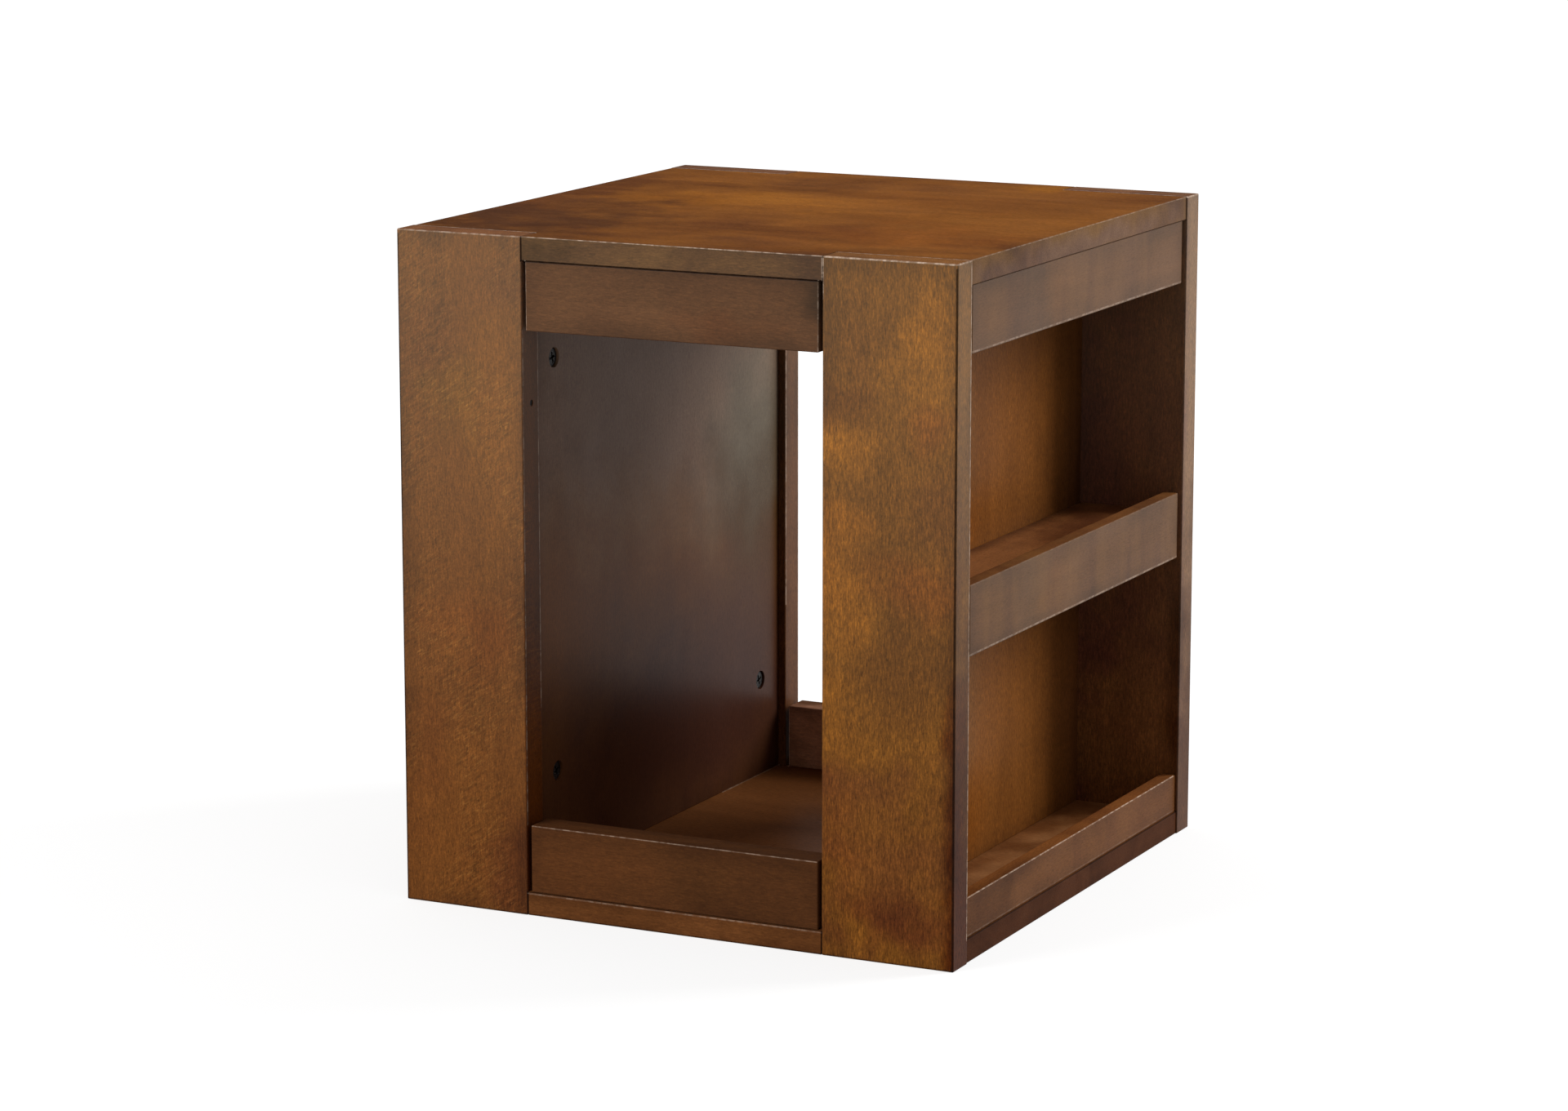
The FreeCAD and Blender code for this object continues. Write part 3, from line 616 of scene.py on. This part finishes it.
stain_board(
    "base_panel", 2, "x", (137, 85, 46), (98, 58, 30), clouds=1.5, streaks=0.1, bands=0.15, gloss=0.01,
    # Painted shade on the panel's edges
    edge_tint=(0.42, 0.36, 0.36),
    # Painted light and sheen on the floor of the right bay
    patches=(((178, 0, 18), (50, 260, 30), (1.9, 2.4, 3.0), 1.0),),
)
stain_board(
    "post_front_left", 3, "z", (131, 79, 34), (95, 53, 22), dashes=1.0, specks=1.0, ripple=1.9, haze=0.95,
    # Painted shade on the post's side faces, darker and warmer there
    top_dullness=0.75, edge_tint=(0.7, 0.52, 0.25),
    patches=(
        ((-148, -230, 370), (40, 20, 150), (1.16, 1.17, 1.02), 0.9),
        ((-205, -230, 420), (40, 30, 70), (0.9, 0.86, 0.96), 1.0),
        ((-182, -230, 385), (34, 30, 46), (1.03, 1.12, 0.92), 0.9),
        ((-160, -230, 215), (60, 30, 60), (1.1, 0.98, 0.9), 0.9),
        ((-132, -230, 36), (40, 30, 60), (0.68, 0.6, 0.75), 1.0),
        ((-140, -230, 470), (50, 30, 30), (0.9, 0.88, 1.0), 1.0),
        ((-205, -230, 120), (30, 20, 90), (0.95, 0.9, 0.95), 0.9),
    ),
)
stain_board(
    "post_front_right", 4, "z", (148, 93, 31), (92, 54, 22), dashes=1.5, specks=0.8, clouds=1.4, haze=0.72,
    # Painted shade on the post's side faces, a little darker there
    top_dullness=0.75, gloss=0.045, edge_tint=(0.8, 0.86, 1.0),
    patches=(
        ((128, -230, 375), (44, 34, 28), (1.7, 1.65, 1.2), 1.0),
        ((128, -230, 285), (42, 40, 74), (1.5, 1.4, 1.1), 1.0),
        ((207, -230, 455), (40, 40, 66), (1.45, 1.42, 1.1), 1.0),
        ((150, -230, 446), (34, 30, 44), (0.85, 0.82, 0.95), 0.9),
        ((135, -230, 405), (50, 30, 26), (0.78, 0.72, 0.85), 1.0),
        ((215, -230, 330), (40, 40, 60), (0.78, 0.74, 0.98), 1.0),
        ((195, -230, 275), (54, 30, 36), (1.0, 0.84, 0.9), 0.9),
        ((126, -230, 165), (40, 30, 56), (1.3, 1.25, 1.05), 0.9),
        ((208, -230, 392), (28, 20, 26), (0.98, 0.84, 0.95), 0.9),
        ((185, -230, 215), (64, 40, 66), (0.74, 0.73, 0.88), 1.0),
        ((130, -230, 90), (34, 20, 70), (1.1, 1.0, 0.95), 0.9),
        ((165, -230, 80), (110, 40, 100), (0.8, 0.78, 0.92), 0.9),
        ((178, -230, 30), (64, 30, 34), (0.62, 0.5, 0.64), 1.0),
        ((175, -230, 60), (130, 40, 110), (1.0, 0.94, 1.25), 1.0),
        # Painted shade low on the post's right side face
        ((225, -217, 40), (14, 60, 330), (0.42, 0.24, 0.12), 1.0),
    ),
)
stain_board(
    "post_rear_left", 5, "z", (120, 74, 38), (88, 50, 24), dashes=1.2, specks=0.8, haze=0.6,
    top_dullness=0.75,
)
stain_board(
    "post_rear_right", 6, "z", (124, 78, 40), (84, 50, 26), dashes=1.2, specks=0.8, haze=0.7,
    # Painted sheen on the post's side faces, lighter and bluer there
    top_dullness=0.75, edge_tint=(1.38, 1.85, 3.0),
    patches=(
        # Painted shade low on the post's right side face
        ((225, 217, 30), (20, 60, 300), (0.43, 0.3, 0.2), 1.0),
        # Painted shade on the post's face towards the bay
        ((180, 205, 330), (90, 12, 400), (0.8, 0.7, 0.9), 1.0),
        ((140, 205, 280), (60, 12, 300), (0.72, 0.6, 0.95), 1.0),
    ),
)
stain_board(
    "apron_front", 7, "x", (106, 69, 43), (86, 53, 31), haze=0.3, bars=0.2,
    patches=(
        ((116, -230, 484), (36, 20, 24), (0.5, 0.52, 0.55), 1.0),
        ((40, -230, 450), (60, 20, 20), (1.08, 0.95, 0.85), 0.9),
    ),
)
stain_board("apron_rear", 8, "x", (106, 69, 43), (86, 53, 31), haze=0.3, bars=0.2)
stain_board(
    "bottom_rail_front", 9, "x", (104, 62, 32), (74, 44, 22), gloss=0.04, top_dullness=0.8,
    patches=(
        ((-80, -230, 40), (90, 20, 40), (1.12, 1.08, 1.05), 0.9),
        ((90, -230, 40), (70, 20, 40), (0.85, 0.85, 0.9), 0.9),
    ),
)
stain_board(
    "bottom_rail_rear", 10, "x", (112, 68, 36), (82, 50, 26), gloss=0.04, top_dullness=0.8,
    # Painted sheen on the rail's face towards the tunnel
    patches=(((0, 206, 43), (420, 20, 90), (3.4, 4.4, 8.0), 1.0),),
)
stain_board("apron_left", 11, "y", (108, 68, 36), (86, 54, 28), haze=0.4, bars=0.5)
stain_board(
    "apron_right", 12, "y", (108, 68, 36), (86, 54, 28), dashes=0.5, specks=0.3, bars=0.8, haze=0.4,
    gloss=0.055,
    patches=(
        ((223, -95, 465), (20, 50, 70), (0.82, 0.84, 0.95), 1.0),
        ((223, -42, 465), (20, 34, 70), (1.16, 1.14, 1.0), 0.9),
    ),
)
stain_board(
    "shelf_lip_right", 13, "y", (112, 72, 38), (88, 56, 28), dashes=0.5, specks=0.3, bars=1.1, haze=0.6,
    # Painted light on the lip's top face
    gloss=0.05, top_tint=(1.5, 1.4, 1.3), top_dullness=0.7,
    patches=(
        ((223, -95, 250), (20, 50, 70), (0.82, 0.84, 0.95), 1.0),
        ((223, -40, 250), (20, 38, 70), (1.16, 1.14, 1.0), 0.9),
    ),
)
stain_board(
    "bottom_lip_right", 14, "y", (122, 76, 38), (92, 54, 26), bars=0.5, haze=0.25, gloss=0.03,
    # Painted light on the lip's top face
    top_tint=(1.5, 1.4, 1.3), top_dullness=0.7,
    # Painted shade at the front end of the lip, low down
    patches=(((223, -180, 33), (20, 90, 40), (0.62, 0.56, 0.42), 1.0),),
)
stain_board(
    "wall_left", 15, "z", (112, 70, 38), (86, 52, 26), clouds=0.6, streaks=0.1, bands=0.15, dashes=0.5,
    dullness=0.31, gloss=0.057, wander=0.45,
    patches=(
        # Painted shade on the lower part of the tunnel wall
        ((-127, 60, 90), (10, 400, 150), (0.47, 0.45, 0.85), 1.0),
        ((-127, -110, 230), (10, 260, 110), (1.6, 1.45, 0.8), 0.9),
        # Painted shade towards the rear, against the rear lamp's light
        ((-127, 165, 285), (10, 140, 150), (0.58, 0.82, 0.9), 0.9),
        # Painted reflection of the bright room across the top of the tunnel wall
        ((-127, 60, 410), (10, 460, 215), (2.3, 3.8, 8.0), 1.0),
    ),
)
stain_board(
    "wall_right", 16, "z", (138, 84, 36), (100, 58, 22), dashes=1.2, specks=0.6, gloss=0.05, wander=0.5,
    patches=(
        # Painted sheen at the front of the bay wall
        ((139, -30, 340), (10, 40, 130), (1.0, 1.12, 1.4), 0.9),
        ((139, -28, 150), (10, 50, 120), (1.08, 1.25, 1.75), 1.0),
        ((139, -70, 285), (10, 110, 50), (1.12, 0.94, 0.55), 0.9),
        ((139, -60, 60), (10, 110, 60), (1.14, 0.98, 0.6), 0.9),
        # Painted shadow of the rear post and the apron on the bay wall
        ((139, 210, 300), (10, 110, 160), (0.42, 0.42, 0.6), 1.0),
        ((139, 140, 430), (10, 170, 110), (0.6, 0.6, 0.72), 1.0),
        ((139, 140, 215), (10, 170, 100), (0.68, 0.68, 0.78), 1.0),
        ((139, 205, 110), (10, 105, 160), (0.6, 0.58, 0.8), 1.0),
    ),
)
stain_board(
    "shelf_right", 17, "y", (160, 104, 60), (126, 78, 42), gloss=0.05,
    patches=(
        # Painted shadow at the rear of the shelf
        ((175, 165, 261), (70, 190, 30), (0.4, 0.34, 0.38), 1.0),
        # Painted shade along the shelf's joint with the wall
        ((139, -30, 262), (12, 260, 6), (0.6, 0.55, 0.55), 1.0),
    ),
)
stain_board("shelf_left", 18, "y", (112, 70, 36), (86, 52, 26))
stain_board(
    "door", 19, "z", (126, 80, 40), (96, 56, 26), clouds=2.0, dashes=1.6, specks=0.8, ripple=0.5, haze=0.6,
)


# Metal, plastic and dowel finishes

def bronze_finish():
    """Dark bronze lacquer, rubbed a little brighter in clouds, with a fine brushed grain."""
    material, recipe = new_material("dark bronze")
    here = recipe.object_place()
    clouds = recipe.noise(here, even(70.0), detail=3.0, roughness=0.6)
    brushed = recipe.noise(here, (2600.0, 2600.0, 130.0), detail=1.0)
    colour = recipe.blend(recipe.ramp(clouds, 0.35, 0.7), tone(62, 46, 34), tone(112, 84, 58))
    rough = recipe.total(recipe.ramp(clouds, 0.3, 0.7, low=0.30, high=0.46), recipe.swing(brushed, 0.12))
    normal = recipe.bump(brushed, strength=0.2, distance=0.00005)
    recipe.surface(Base_Color=colour, Metallic=0.85, Roughness=rough, Normal=normal)
    return material


def black_zinc_finish():
    """Blackened die-cast zinc with a pitted skin, and bright specks that are both worn metal and painted
    glints.
    """
    material, recipe = new_material("black zinc")
    here = recipe.object_place()
    pits = recipe.noise(here, even(1400.0))
    # Bright specks: worn metal, and painted glints
    specks = recipe.ramp(recipe.noise(here, even(420.0), detail=3.0, roughness=0.7), 0.58, 0.72)
    colour = recipe.blend(specks, tone(15, 12, 11), tone(122, 114, 104))
    rough = recipe.total(0.46, recipe.swing(pits, 0.25))
    recipe.surface(
        Base_Color=colour,
        Metallic=0.15,
        Roughness=rough,
        Specular_IOR_Level=0.2,
        Normal=recipe.bump(pits, strength=0.3, distance=0.00008),
    )
    return material


def steel_finish():
    """Zinc-plated steel with a faint bluish mottle and turning marks."""
    material, recipe = new_material("plated steel")
    here = recipe.object_place()
    mottle = recipe.noise(here, even(260.0), detail=3.0, roughness=0.6)
    marks = recipe.noise(here, (900.0, 900.0, 5200.0), detail=1.0)
    colour = recipe.blend(mottle, tone(150, 152, 156), tone(196, 194, 188))
    rough = recipe.total(recipe.ramp(mottle, 0.3, 0.7, low=0.26, high=0.4), recipe.swing(marks, 0.1))
    normal = recipe.bump(marks, strength=0.2, distance=0.00004)
    recipe.surface(Base_Color=colour, Metallic=1.0, Roughness=rough, Normal=normal)
    return material


def beech_finish():
    """Bare beech with pores and short ray flecks."""
    material, recipe = new_material("bare beech")
    here = recipe.object_place()
    streaks = recipe.noise(here, even(140.0), detail=4.0, roughness=0.6, distortion=0.6)
    flecks = recipe.ramp(recipe.noise(here, even(900.0), detail=1.0), 0.58, 0.72)
    colour = recipe.blend(streaks, tone(150, 104, 62), tone(196, 150, 102))
    colour = recipe.blend(recipe.product(flecks, 0.5), colour, tone(112, 70, 38))
    rough = recipe.ramp(streaks, 0.3, 0.7, low=0.58, high=0.7)
    normal = recipe.bump(flecks, strength=0.3, distance=0.0001)
    recipe.surface(Base_Color=colour, Roughness=rough, Normal=normal)
    return material


def brown_plastic_finish():
    """Moulded brown plastic with a fine leather-like skin."""
    material, recipe = new_material("brown plastic")
    here = recipe.object_place()
    skin = recipe.noise(here, even(1100.0))
    colour = recipe.blend(recipe.noise(here, even(60.0)), tone(46, 30, 20), tone(66, 44, 30))
    rough = recipe.ramp(skin, 0.3, 0.7, low=0.42, high=0.56)
    normal = recipe.bump(skin, strength=0.3, distance=0.0001)
    recipe.surface(Base_Color=colour, Roughness=rough, Normal=normal)
    return material


def ferrite_finish():
    """Sintered magnet: dark grey with fine glinting grains."""
    material, recipe = new_material("ferrite magnet")
    here = recipe.object_place()
    grains = recipe.noise(here, even(1800.0), roughness=0.7)
    colour = recipe.blend(recipe.ramp(grains, 0.6, 0.72), tone(44, 44, 46), tone(104, 104, 108))
    rough = recipe.ramp(grains, 0.3, 0.7, low=0.5, high=0.66)
    normal = recipe.bump(grains, strength=0.3, distance=0.00008)
    recipe.surface(Base_Color=colour, Metallic=0.3, Roughness=rough, Normal=normal)
    return material


bronze = bronze_finish()
black_zinc = black_zinc_finish()
plated_steel = steel_finish()
bare_beech = beech_finish()
brown_plastic = brown_plastic_finish()
ferrite = ferrite_finish()

STEEL_PIECES = ("knob_screw", "catch_poles", "catch_screws", "strike_plate", "strike_screw")
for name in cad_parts:
    if name.startswith("dowels_"):
        dress(name, bare_beech)
    elif name.startswith("hinge_") or name == "door_knob":
        dress(name, bronze)
    elif name.startswith("cam_bolts_") or name in STEEL_PIECES:
        dress(name, plated_steel)
dress("edge_pin", black_zinc)
dress("catch_housing", brown_plastic)
dress("catch_magnet", ferrite)


# Cam discs and hinge screws, set out in rows

def make_set_out_tree():
    """Repeats one fastener in rows of rows, each copy facing its way and spun by its own amount."""
    recipe, given, made = group_tree(
        "set out fasteners",
        [
            ("Fastener", "Geometry"),
            ("First place", "Vector"),
            ("Row step", "Vector"),
            ("Row count", "Int"),
            ("Column step", "Vector"),
            ("Column count", "Int"),
            ("Facing", "Rotation"),
            ("Spin", "Float"),
            ("Spin seed", "Int"),
            ("Finish", "Material"),
        ],
        [("Fasteners", "Geometry")],
        "GeometryNodeTree",
    )
    rows = recipe.step("GeometryNodeMeshLine", {
        "Count": given["Row count"], "Start Location": given["First place"], "Offset": given["Row step"]})
    columns = recipe.step("GeometryNodeMeshLine", {
        "Count": given["Column count"], "Offset": given["Column step"]})
    places = recipe.step("GeometryNodeInstanceOnPoints", {
        "Points": rows.outputs[0], "Instance": columns.outputs[0]})
    places = recipe.step("GeometryNodeRealizeInstances", {"Geometry": places.outputs[0]})
    copies = recipe.step("GeometryNodeInstanceOnPoints", {
        "Points": places.outputs[0], "Instance": given["Fastener"], "Rotation": given["Facing"]})
    spins = recipe.step("FunctionNodeRandomValue", {"Seed": given["Spin seed"]}, data_type="FLOAT")
    least, most = [socket for socket in spins.inputs if socket.type == "VALUE"][:2]
    recipe.feed(least, recipe.maths("MULTIPLY", given["Spin"], -1.0))
    recipe.feed(most, given["Spin"])
    angle = [socket for socket in spins.outputs if socket.type == "VALUE"][0]
    about_own_axis = recipe.step("FunctionNodeAxisAngleToRotation", {"Axis": (0, 0, 1), "Angle": angle})
    turned = recipe.step("GeometryNodeRotateInstances", {
        "Instances": copies.outputs[0], "Rotation": about_own_axis.outputs[0], "Local Space": True})
    real = recipe.step("GeometryNodeRealizeInstances", {"Geometry": turned.outputs[0]})
    finished = recipe.step("GeometryNodeSetMaterial", {
        "Geometry": real.outputs[0], "Material": given["Finish"]})
    recipe.feed(made["Fasteners"], finished.outputs[0])
    return recipe.tree


def ring(mesh, radius, height, count):
    """Points evenly round a circle."""
    points = []
    for index in range(count):
        angle = 2 * math.pi * index / count
        points.append(mesh.verts.new((radius * math.cos(angle), radius * math.sin(angle), height)))
    return points


def cross_points(mesh, near, far, height):
    """Outline of an upright cross, twelve corners: near is half an arm's width, far is half its length."""
    corners = (
        (far, -near), (far, near), (near, near),
        (near, far), (-near, far), (-near, near),
        (-far, near), (-far, -near), (-near, -near),
        (-near, -far), (near, -far), (near, -near),
    )
    return [mesh.verts.new((x, y, height)) for x, y in corners]


def neighbours(loop):
    """Each point of a closed loop with the one after it."""
    return zip(loop, loop[1:] + loop[:1])


def bridge(mesh, first, second):
    """A band of faces between two closed loops."""
    for (first_here, first_next), (second_here, second_next) in zip(neighbours(first), neighbours(second)):
        mesh.faces.new((first_here, first_next, second_next, second_here))


# The slot's floor is a little smaller than its mouth
FLOOR_WIDTH_SHARE, FLOOR_LENGTH_SHARE = 0.8, 0.86


def cross_slotted_fastener(profile, slot_width, slot_length, slot_depth, sides):
    """Round fastener with a cross slot sunk in its face, in millimetres.

    The profile lists radius and height from the face, at height 0, down.
    """
    mesh = bmesh.new()
    rings = [ring(mesh, radius * MM, height * MM, sides) for radius, height in profile]
    for upper, lower in zip(rings, rings[1:]):
        bridge(mesh, upper, lower)
    mesh.faces.new(rings[-1])
    near, far = slot_width / 2 * MM, slot_length / 2 * MM
    mouth = cross_points(mesh, near, far, 0)
    floor = cross_points(mesh, near * FLOOR_WIDTH_SHARE, far * FLOOR_LENGTH_SHARE, -slot_depth * MM)
    bridge(mesh, mouth, floor)
    mesh.faces.new(floor)
    edges = [mesh.edges.get(pair) for loop in (rings[0], mouth) for pair in neighbours(loop)]
    bmesh.ops.triangle_fill(mesh, use_beauty=True, use_dissolve=False, edges=edges)
    bmesh.ops.triangulate(mesh, faces=[face for face in mesh.faces if len(face.verts) > 4])
    bmesh.ops.recalc_face_normals(mesh, faces=mesh.faces)
    made = bpy.data.meshes.new("fastener")
    mesh.to_mesh(made)
    mesh.free()
    return made


def set_out(name, body, replaced, fastener, finish, inputs):
    """Sets copies of a fastener out in rows as one finished piece that stands for a CAD node."""
    carrier = bpy.data.objects.new(name, fastener.copy())
    bpy.context.scene.collection.objects.link(carrier)
    modifier = carrier.modifiers.new("set out", "NODES")
    modifier.node_group = set_out_tree
    wanted = {**inputs, "Finish": finish}
    for socket in set_out_tree.interface.items_tree:
        if socket.item_type == "SOCKET" and socket.in_out == "INPUT" and socket.name in wanted:
            modifier[socket.identifier] = wanted[socket.name]
    view = bpy.context.evaluated_depsgraph_get()
    finished = bpy.data.meshes.new_from_object(carrier.evaluated_get(view))
    carrier.modifiers.remove(modifier)
    carrier.data = finished
    finished.name = name
    carrier.name = name
    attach(carrier, body)
    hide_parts(replaced)


# Places in millimetres, and the most that a fastener is turned from upright, in radians
CAM_X, CAM_Y, CAM_LOW_Z, CAM_HIGH_Z, CAM_SUNK = 127, 171, 97, 411, 1.5
HINGE_X, HINGE_LOW_Z, HINGE_GAP_Z, SCREW_GAP_Z = -214, 65, 299, 30
FRAME_LEAF_Y, DOOR_LEAF_Y = 203.8, 203.5
CAM_SPIN, SCREW_SPIN, SCREW_SEED = 0.5, 0.7, 9

set_out_tree = make_set_out_tree()
cam_disc = cross_slotted_fastener(
    [(6.5, 0), (7.3, -0.6), (7.3, -8.1)],
    slot_width=1.8, slot_length=8.6, slot_depth=1.8, sides=40,
)
leaf_screw = cross_slotted_fastener(
    [(2.45, 0), (2.65, -0.15), (1.5, -1.2), (1.5, -11.0), (0.4, -14.0)],
    slot_width=0.8, slot_length=3.2, slot_depth=0.8, sides=28,
)
for name, side, seed in (("left", -1, 3), ("right", 1, 5)):
    set_out("cam_discs_" + name, "cabinet", "cam_locks_" + name, cam_disc, black_zinc, {
        "First place": millimetres(side * (CAM_X + CAM_SUNK), -CAM_Y, CAM_LOW_Z),
        "Row step": millimetres(0, 2 * CAM_Y, 0),
        "Row count": 2,
        "Column step": millimetres(0, 0, CAM_HIGH_Z - CAM_LOW_Z),
        "Column count": 2,
        "Facing": (0, math.radians(-90 * side), 0),
        "Spin": CAM_SPIN,
        "Spin seed": seed,
    })
for name, body, y, turn in (("frame", "cabinet", FRAME_LEAF_Y, 90), ("door", "door", DOOR_LEAF_Y, -90)):
    set_out(name + "_leaf_screws", body, "hinge_" + name + "_screws", leaf_screw, bronze, {
        "First place": millimetres(HINGE_X, y, HINGE_LOW_Z),
        "Row step": millimetres(0, 0, HINGE_GAP_Z),
        "Row count": 2,
        "Column step": millimetres(0, 0, SCREW_GAP_Z),
        "Column count": 2,
        "Facing": (math.radians(turn), 0, 0),
        "Spin": SCREW_SPIN,
        "Spin seed": SCREW_SEED,
    })


# Floor, light and camera

def seen_share(recipe):
    """1 for what the camera, a reflection or a clear pane sees, 0 for light that bounces."""
    path = recipe.step("ShaderNodeLightPath").outputs
    seen = recipe.maths("MAXIMUM", path["Is Camera Ray"], path["Is Glossy Ray"])
    return recipe.maths("MAXIMUM", seen, path["Is Transmission Ray"])


def make_floor():
    """Pale floor that shows white to the eye, with the table's soft shadow.

    Its glow grows away from the table, where the lamps reach less.
    """
    reach = 14.0
    corners = [(-reach, -reach, 0), (reach, -reach, 0), (reach, reach, 0), (-reach, reach, 0)]
    mesh = bpy.data.meshes.new("floor")
    mesh.from_pydata(corners, [], [(0, 1, 2, 3)])
    floor = bpy.data.objects.new("floor", mesh)
    bpy.context.scene.collection.objects.link(floor)
    material, recipe = new_material("pale floor")
    bounce = recipe.step("ShaderNodeBsdfDiffuse", {"Color": grey(0.45)})
    shaded = recipe.step("ShaderNodeBsdfDiffuse", {"Color": grey(0.35)})
    away = recipe.vectors("LENGTH", recipe.object_place())
    brightness = recipe.ramp(away, 0.5, 2.6, low=0.74, high=0.88)
    glow = recipe.step("ShaderNodeEmission", {"Color": grey(1.0), "Strength": brightness})
    shown = recipe.step("ShaderNodeAddShader", {0: glow.outputs[0], 1: shaded.outputs[0]})
    mixed = recipe.step("ShaderNodeMixShader", {
        0: seen_share(recipe), 1: bounce.outputs[0], 2: shown.outputs[0]})
    recipe.step("ShaderNodeOutputMaterial", {"Surface": mixed.outputs[0]})
    mesh.materials.append(material)


def make_world():
    """Even soft light, with a white room in view and in reflections."""
    world = bpy.data.worlds.new("white room")
    world.use_nodes = True
    recipe = Recipe(world.node_tree)
    soft = recipe.step("ShaderNodeBackground", {"Color": grey(1.0), "Strength": 0.5})
    white = recipe.step("ShaderNodeBackground", {"Color": grey(1.0), "Strength": 1.0})
    mixed = recipe.step("ShaderNodeMixShader", {
        0: seen_share(recipe), 1: soft.outputs[0], 2: white.outputs[0]})
    recipe.step("ShaderNodeOutputWorld", {"Surface": mixed.outputs[0]})
    bpy.context.scene.world = world


def place_and_aim(thing, place, aim):
    """Stands a lamp or a camera at one place, looking at another, in metres."""
    bpy.context.scene.collection.objects.link(thing)
    toward = Vector(aim) - Vector(place)
    thing.matrix_world = Matrix.Translation(place) @ toward.to_track_quat("-Z", "Y").to_matrix().to_4x4()


def soft_box(name, place, aim, width, height, power):
    """Lamp with a broad face, its sides in metres and its power in watts."""
    lamp = bpy.data.lights.new(name, "AREA")
    lamp.shape = "RECTANGLE"
    lamp.size = width
    lamp.size_y = height
    lamp.energy = power
    place_and_aim(bpy.data.objects.new(name, lamp), place, aim)


# Lens and sensor in millimetres, place and aim in metres
LENS, SENSOR_WIDTH = 106.82, 36.0
CAMERA_PLACE, CAMERA_AIM = (1.5209, -3.1468, 0.9384), (-0.0165, -0.0106, 0.2427)


def make_camera():
    camera = bpy.data.cameras.new("camera")
    camera.sensor_fit = "HORIZONTAL"
    camera.sensor_width = SENSOR_WIDTH
    camera.lens = LENS
    holder = bpy.data.objects.new("camera", camera)
    place_and_aim(holder, CAMERA_PLACE, CAMERA_AIM)
    bpy.context.scene.camera = holder


make_floor()
make_world()
soft_box("front left soft box", (-1.9, -2.9, 1.9), (0, 0, 0.25), 1.8, 1.6, 70.0)
soft_box("rear right soft box", (2.23, 2.0, 1.7), (0.1, 0, 0.25), 1.2, 2.0, 79.0)
make_camera()
bpy.context.scene.view_settings.view_transform = "Standard"
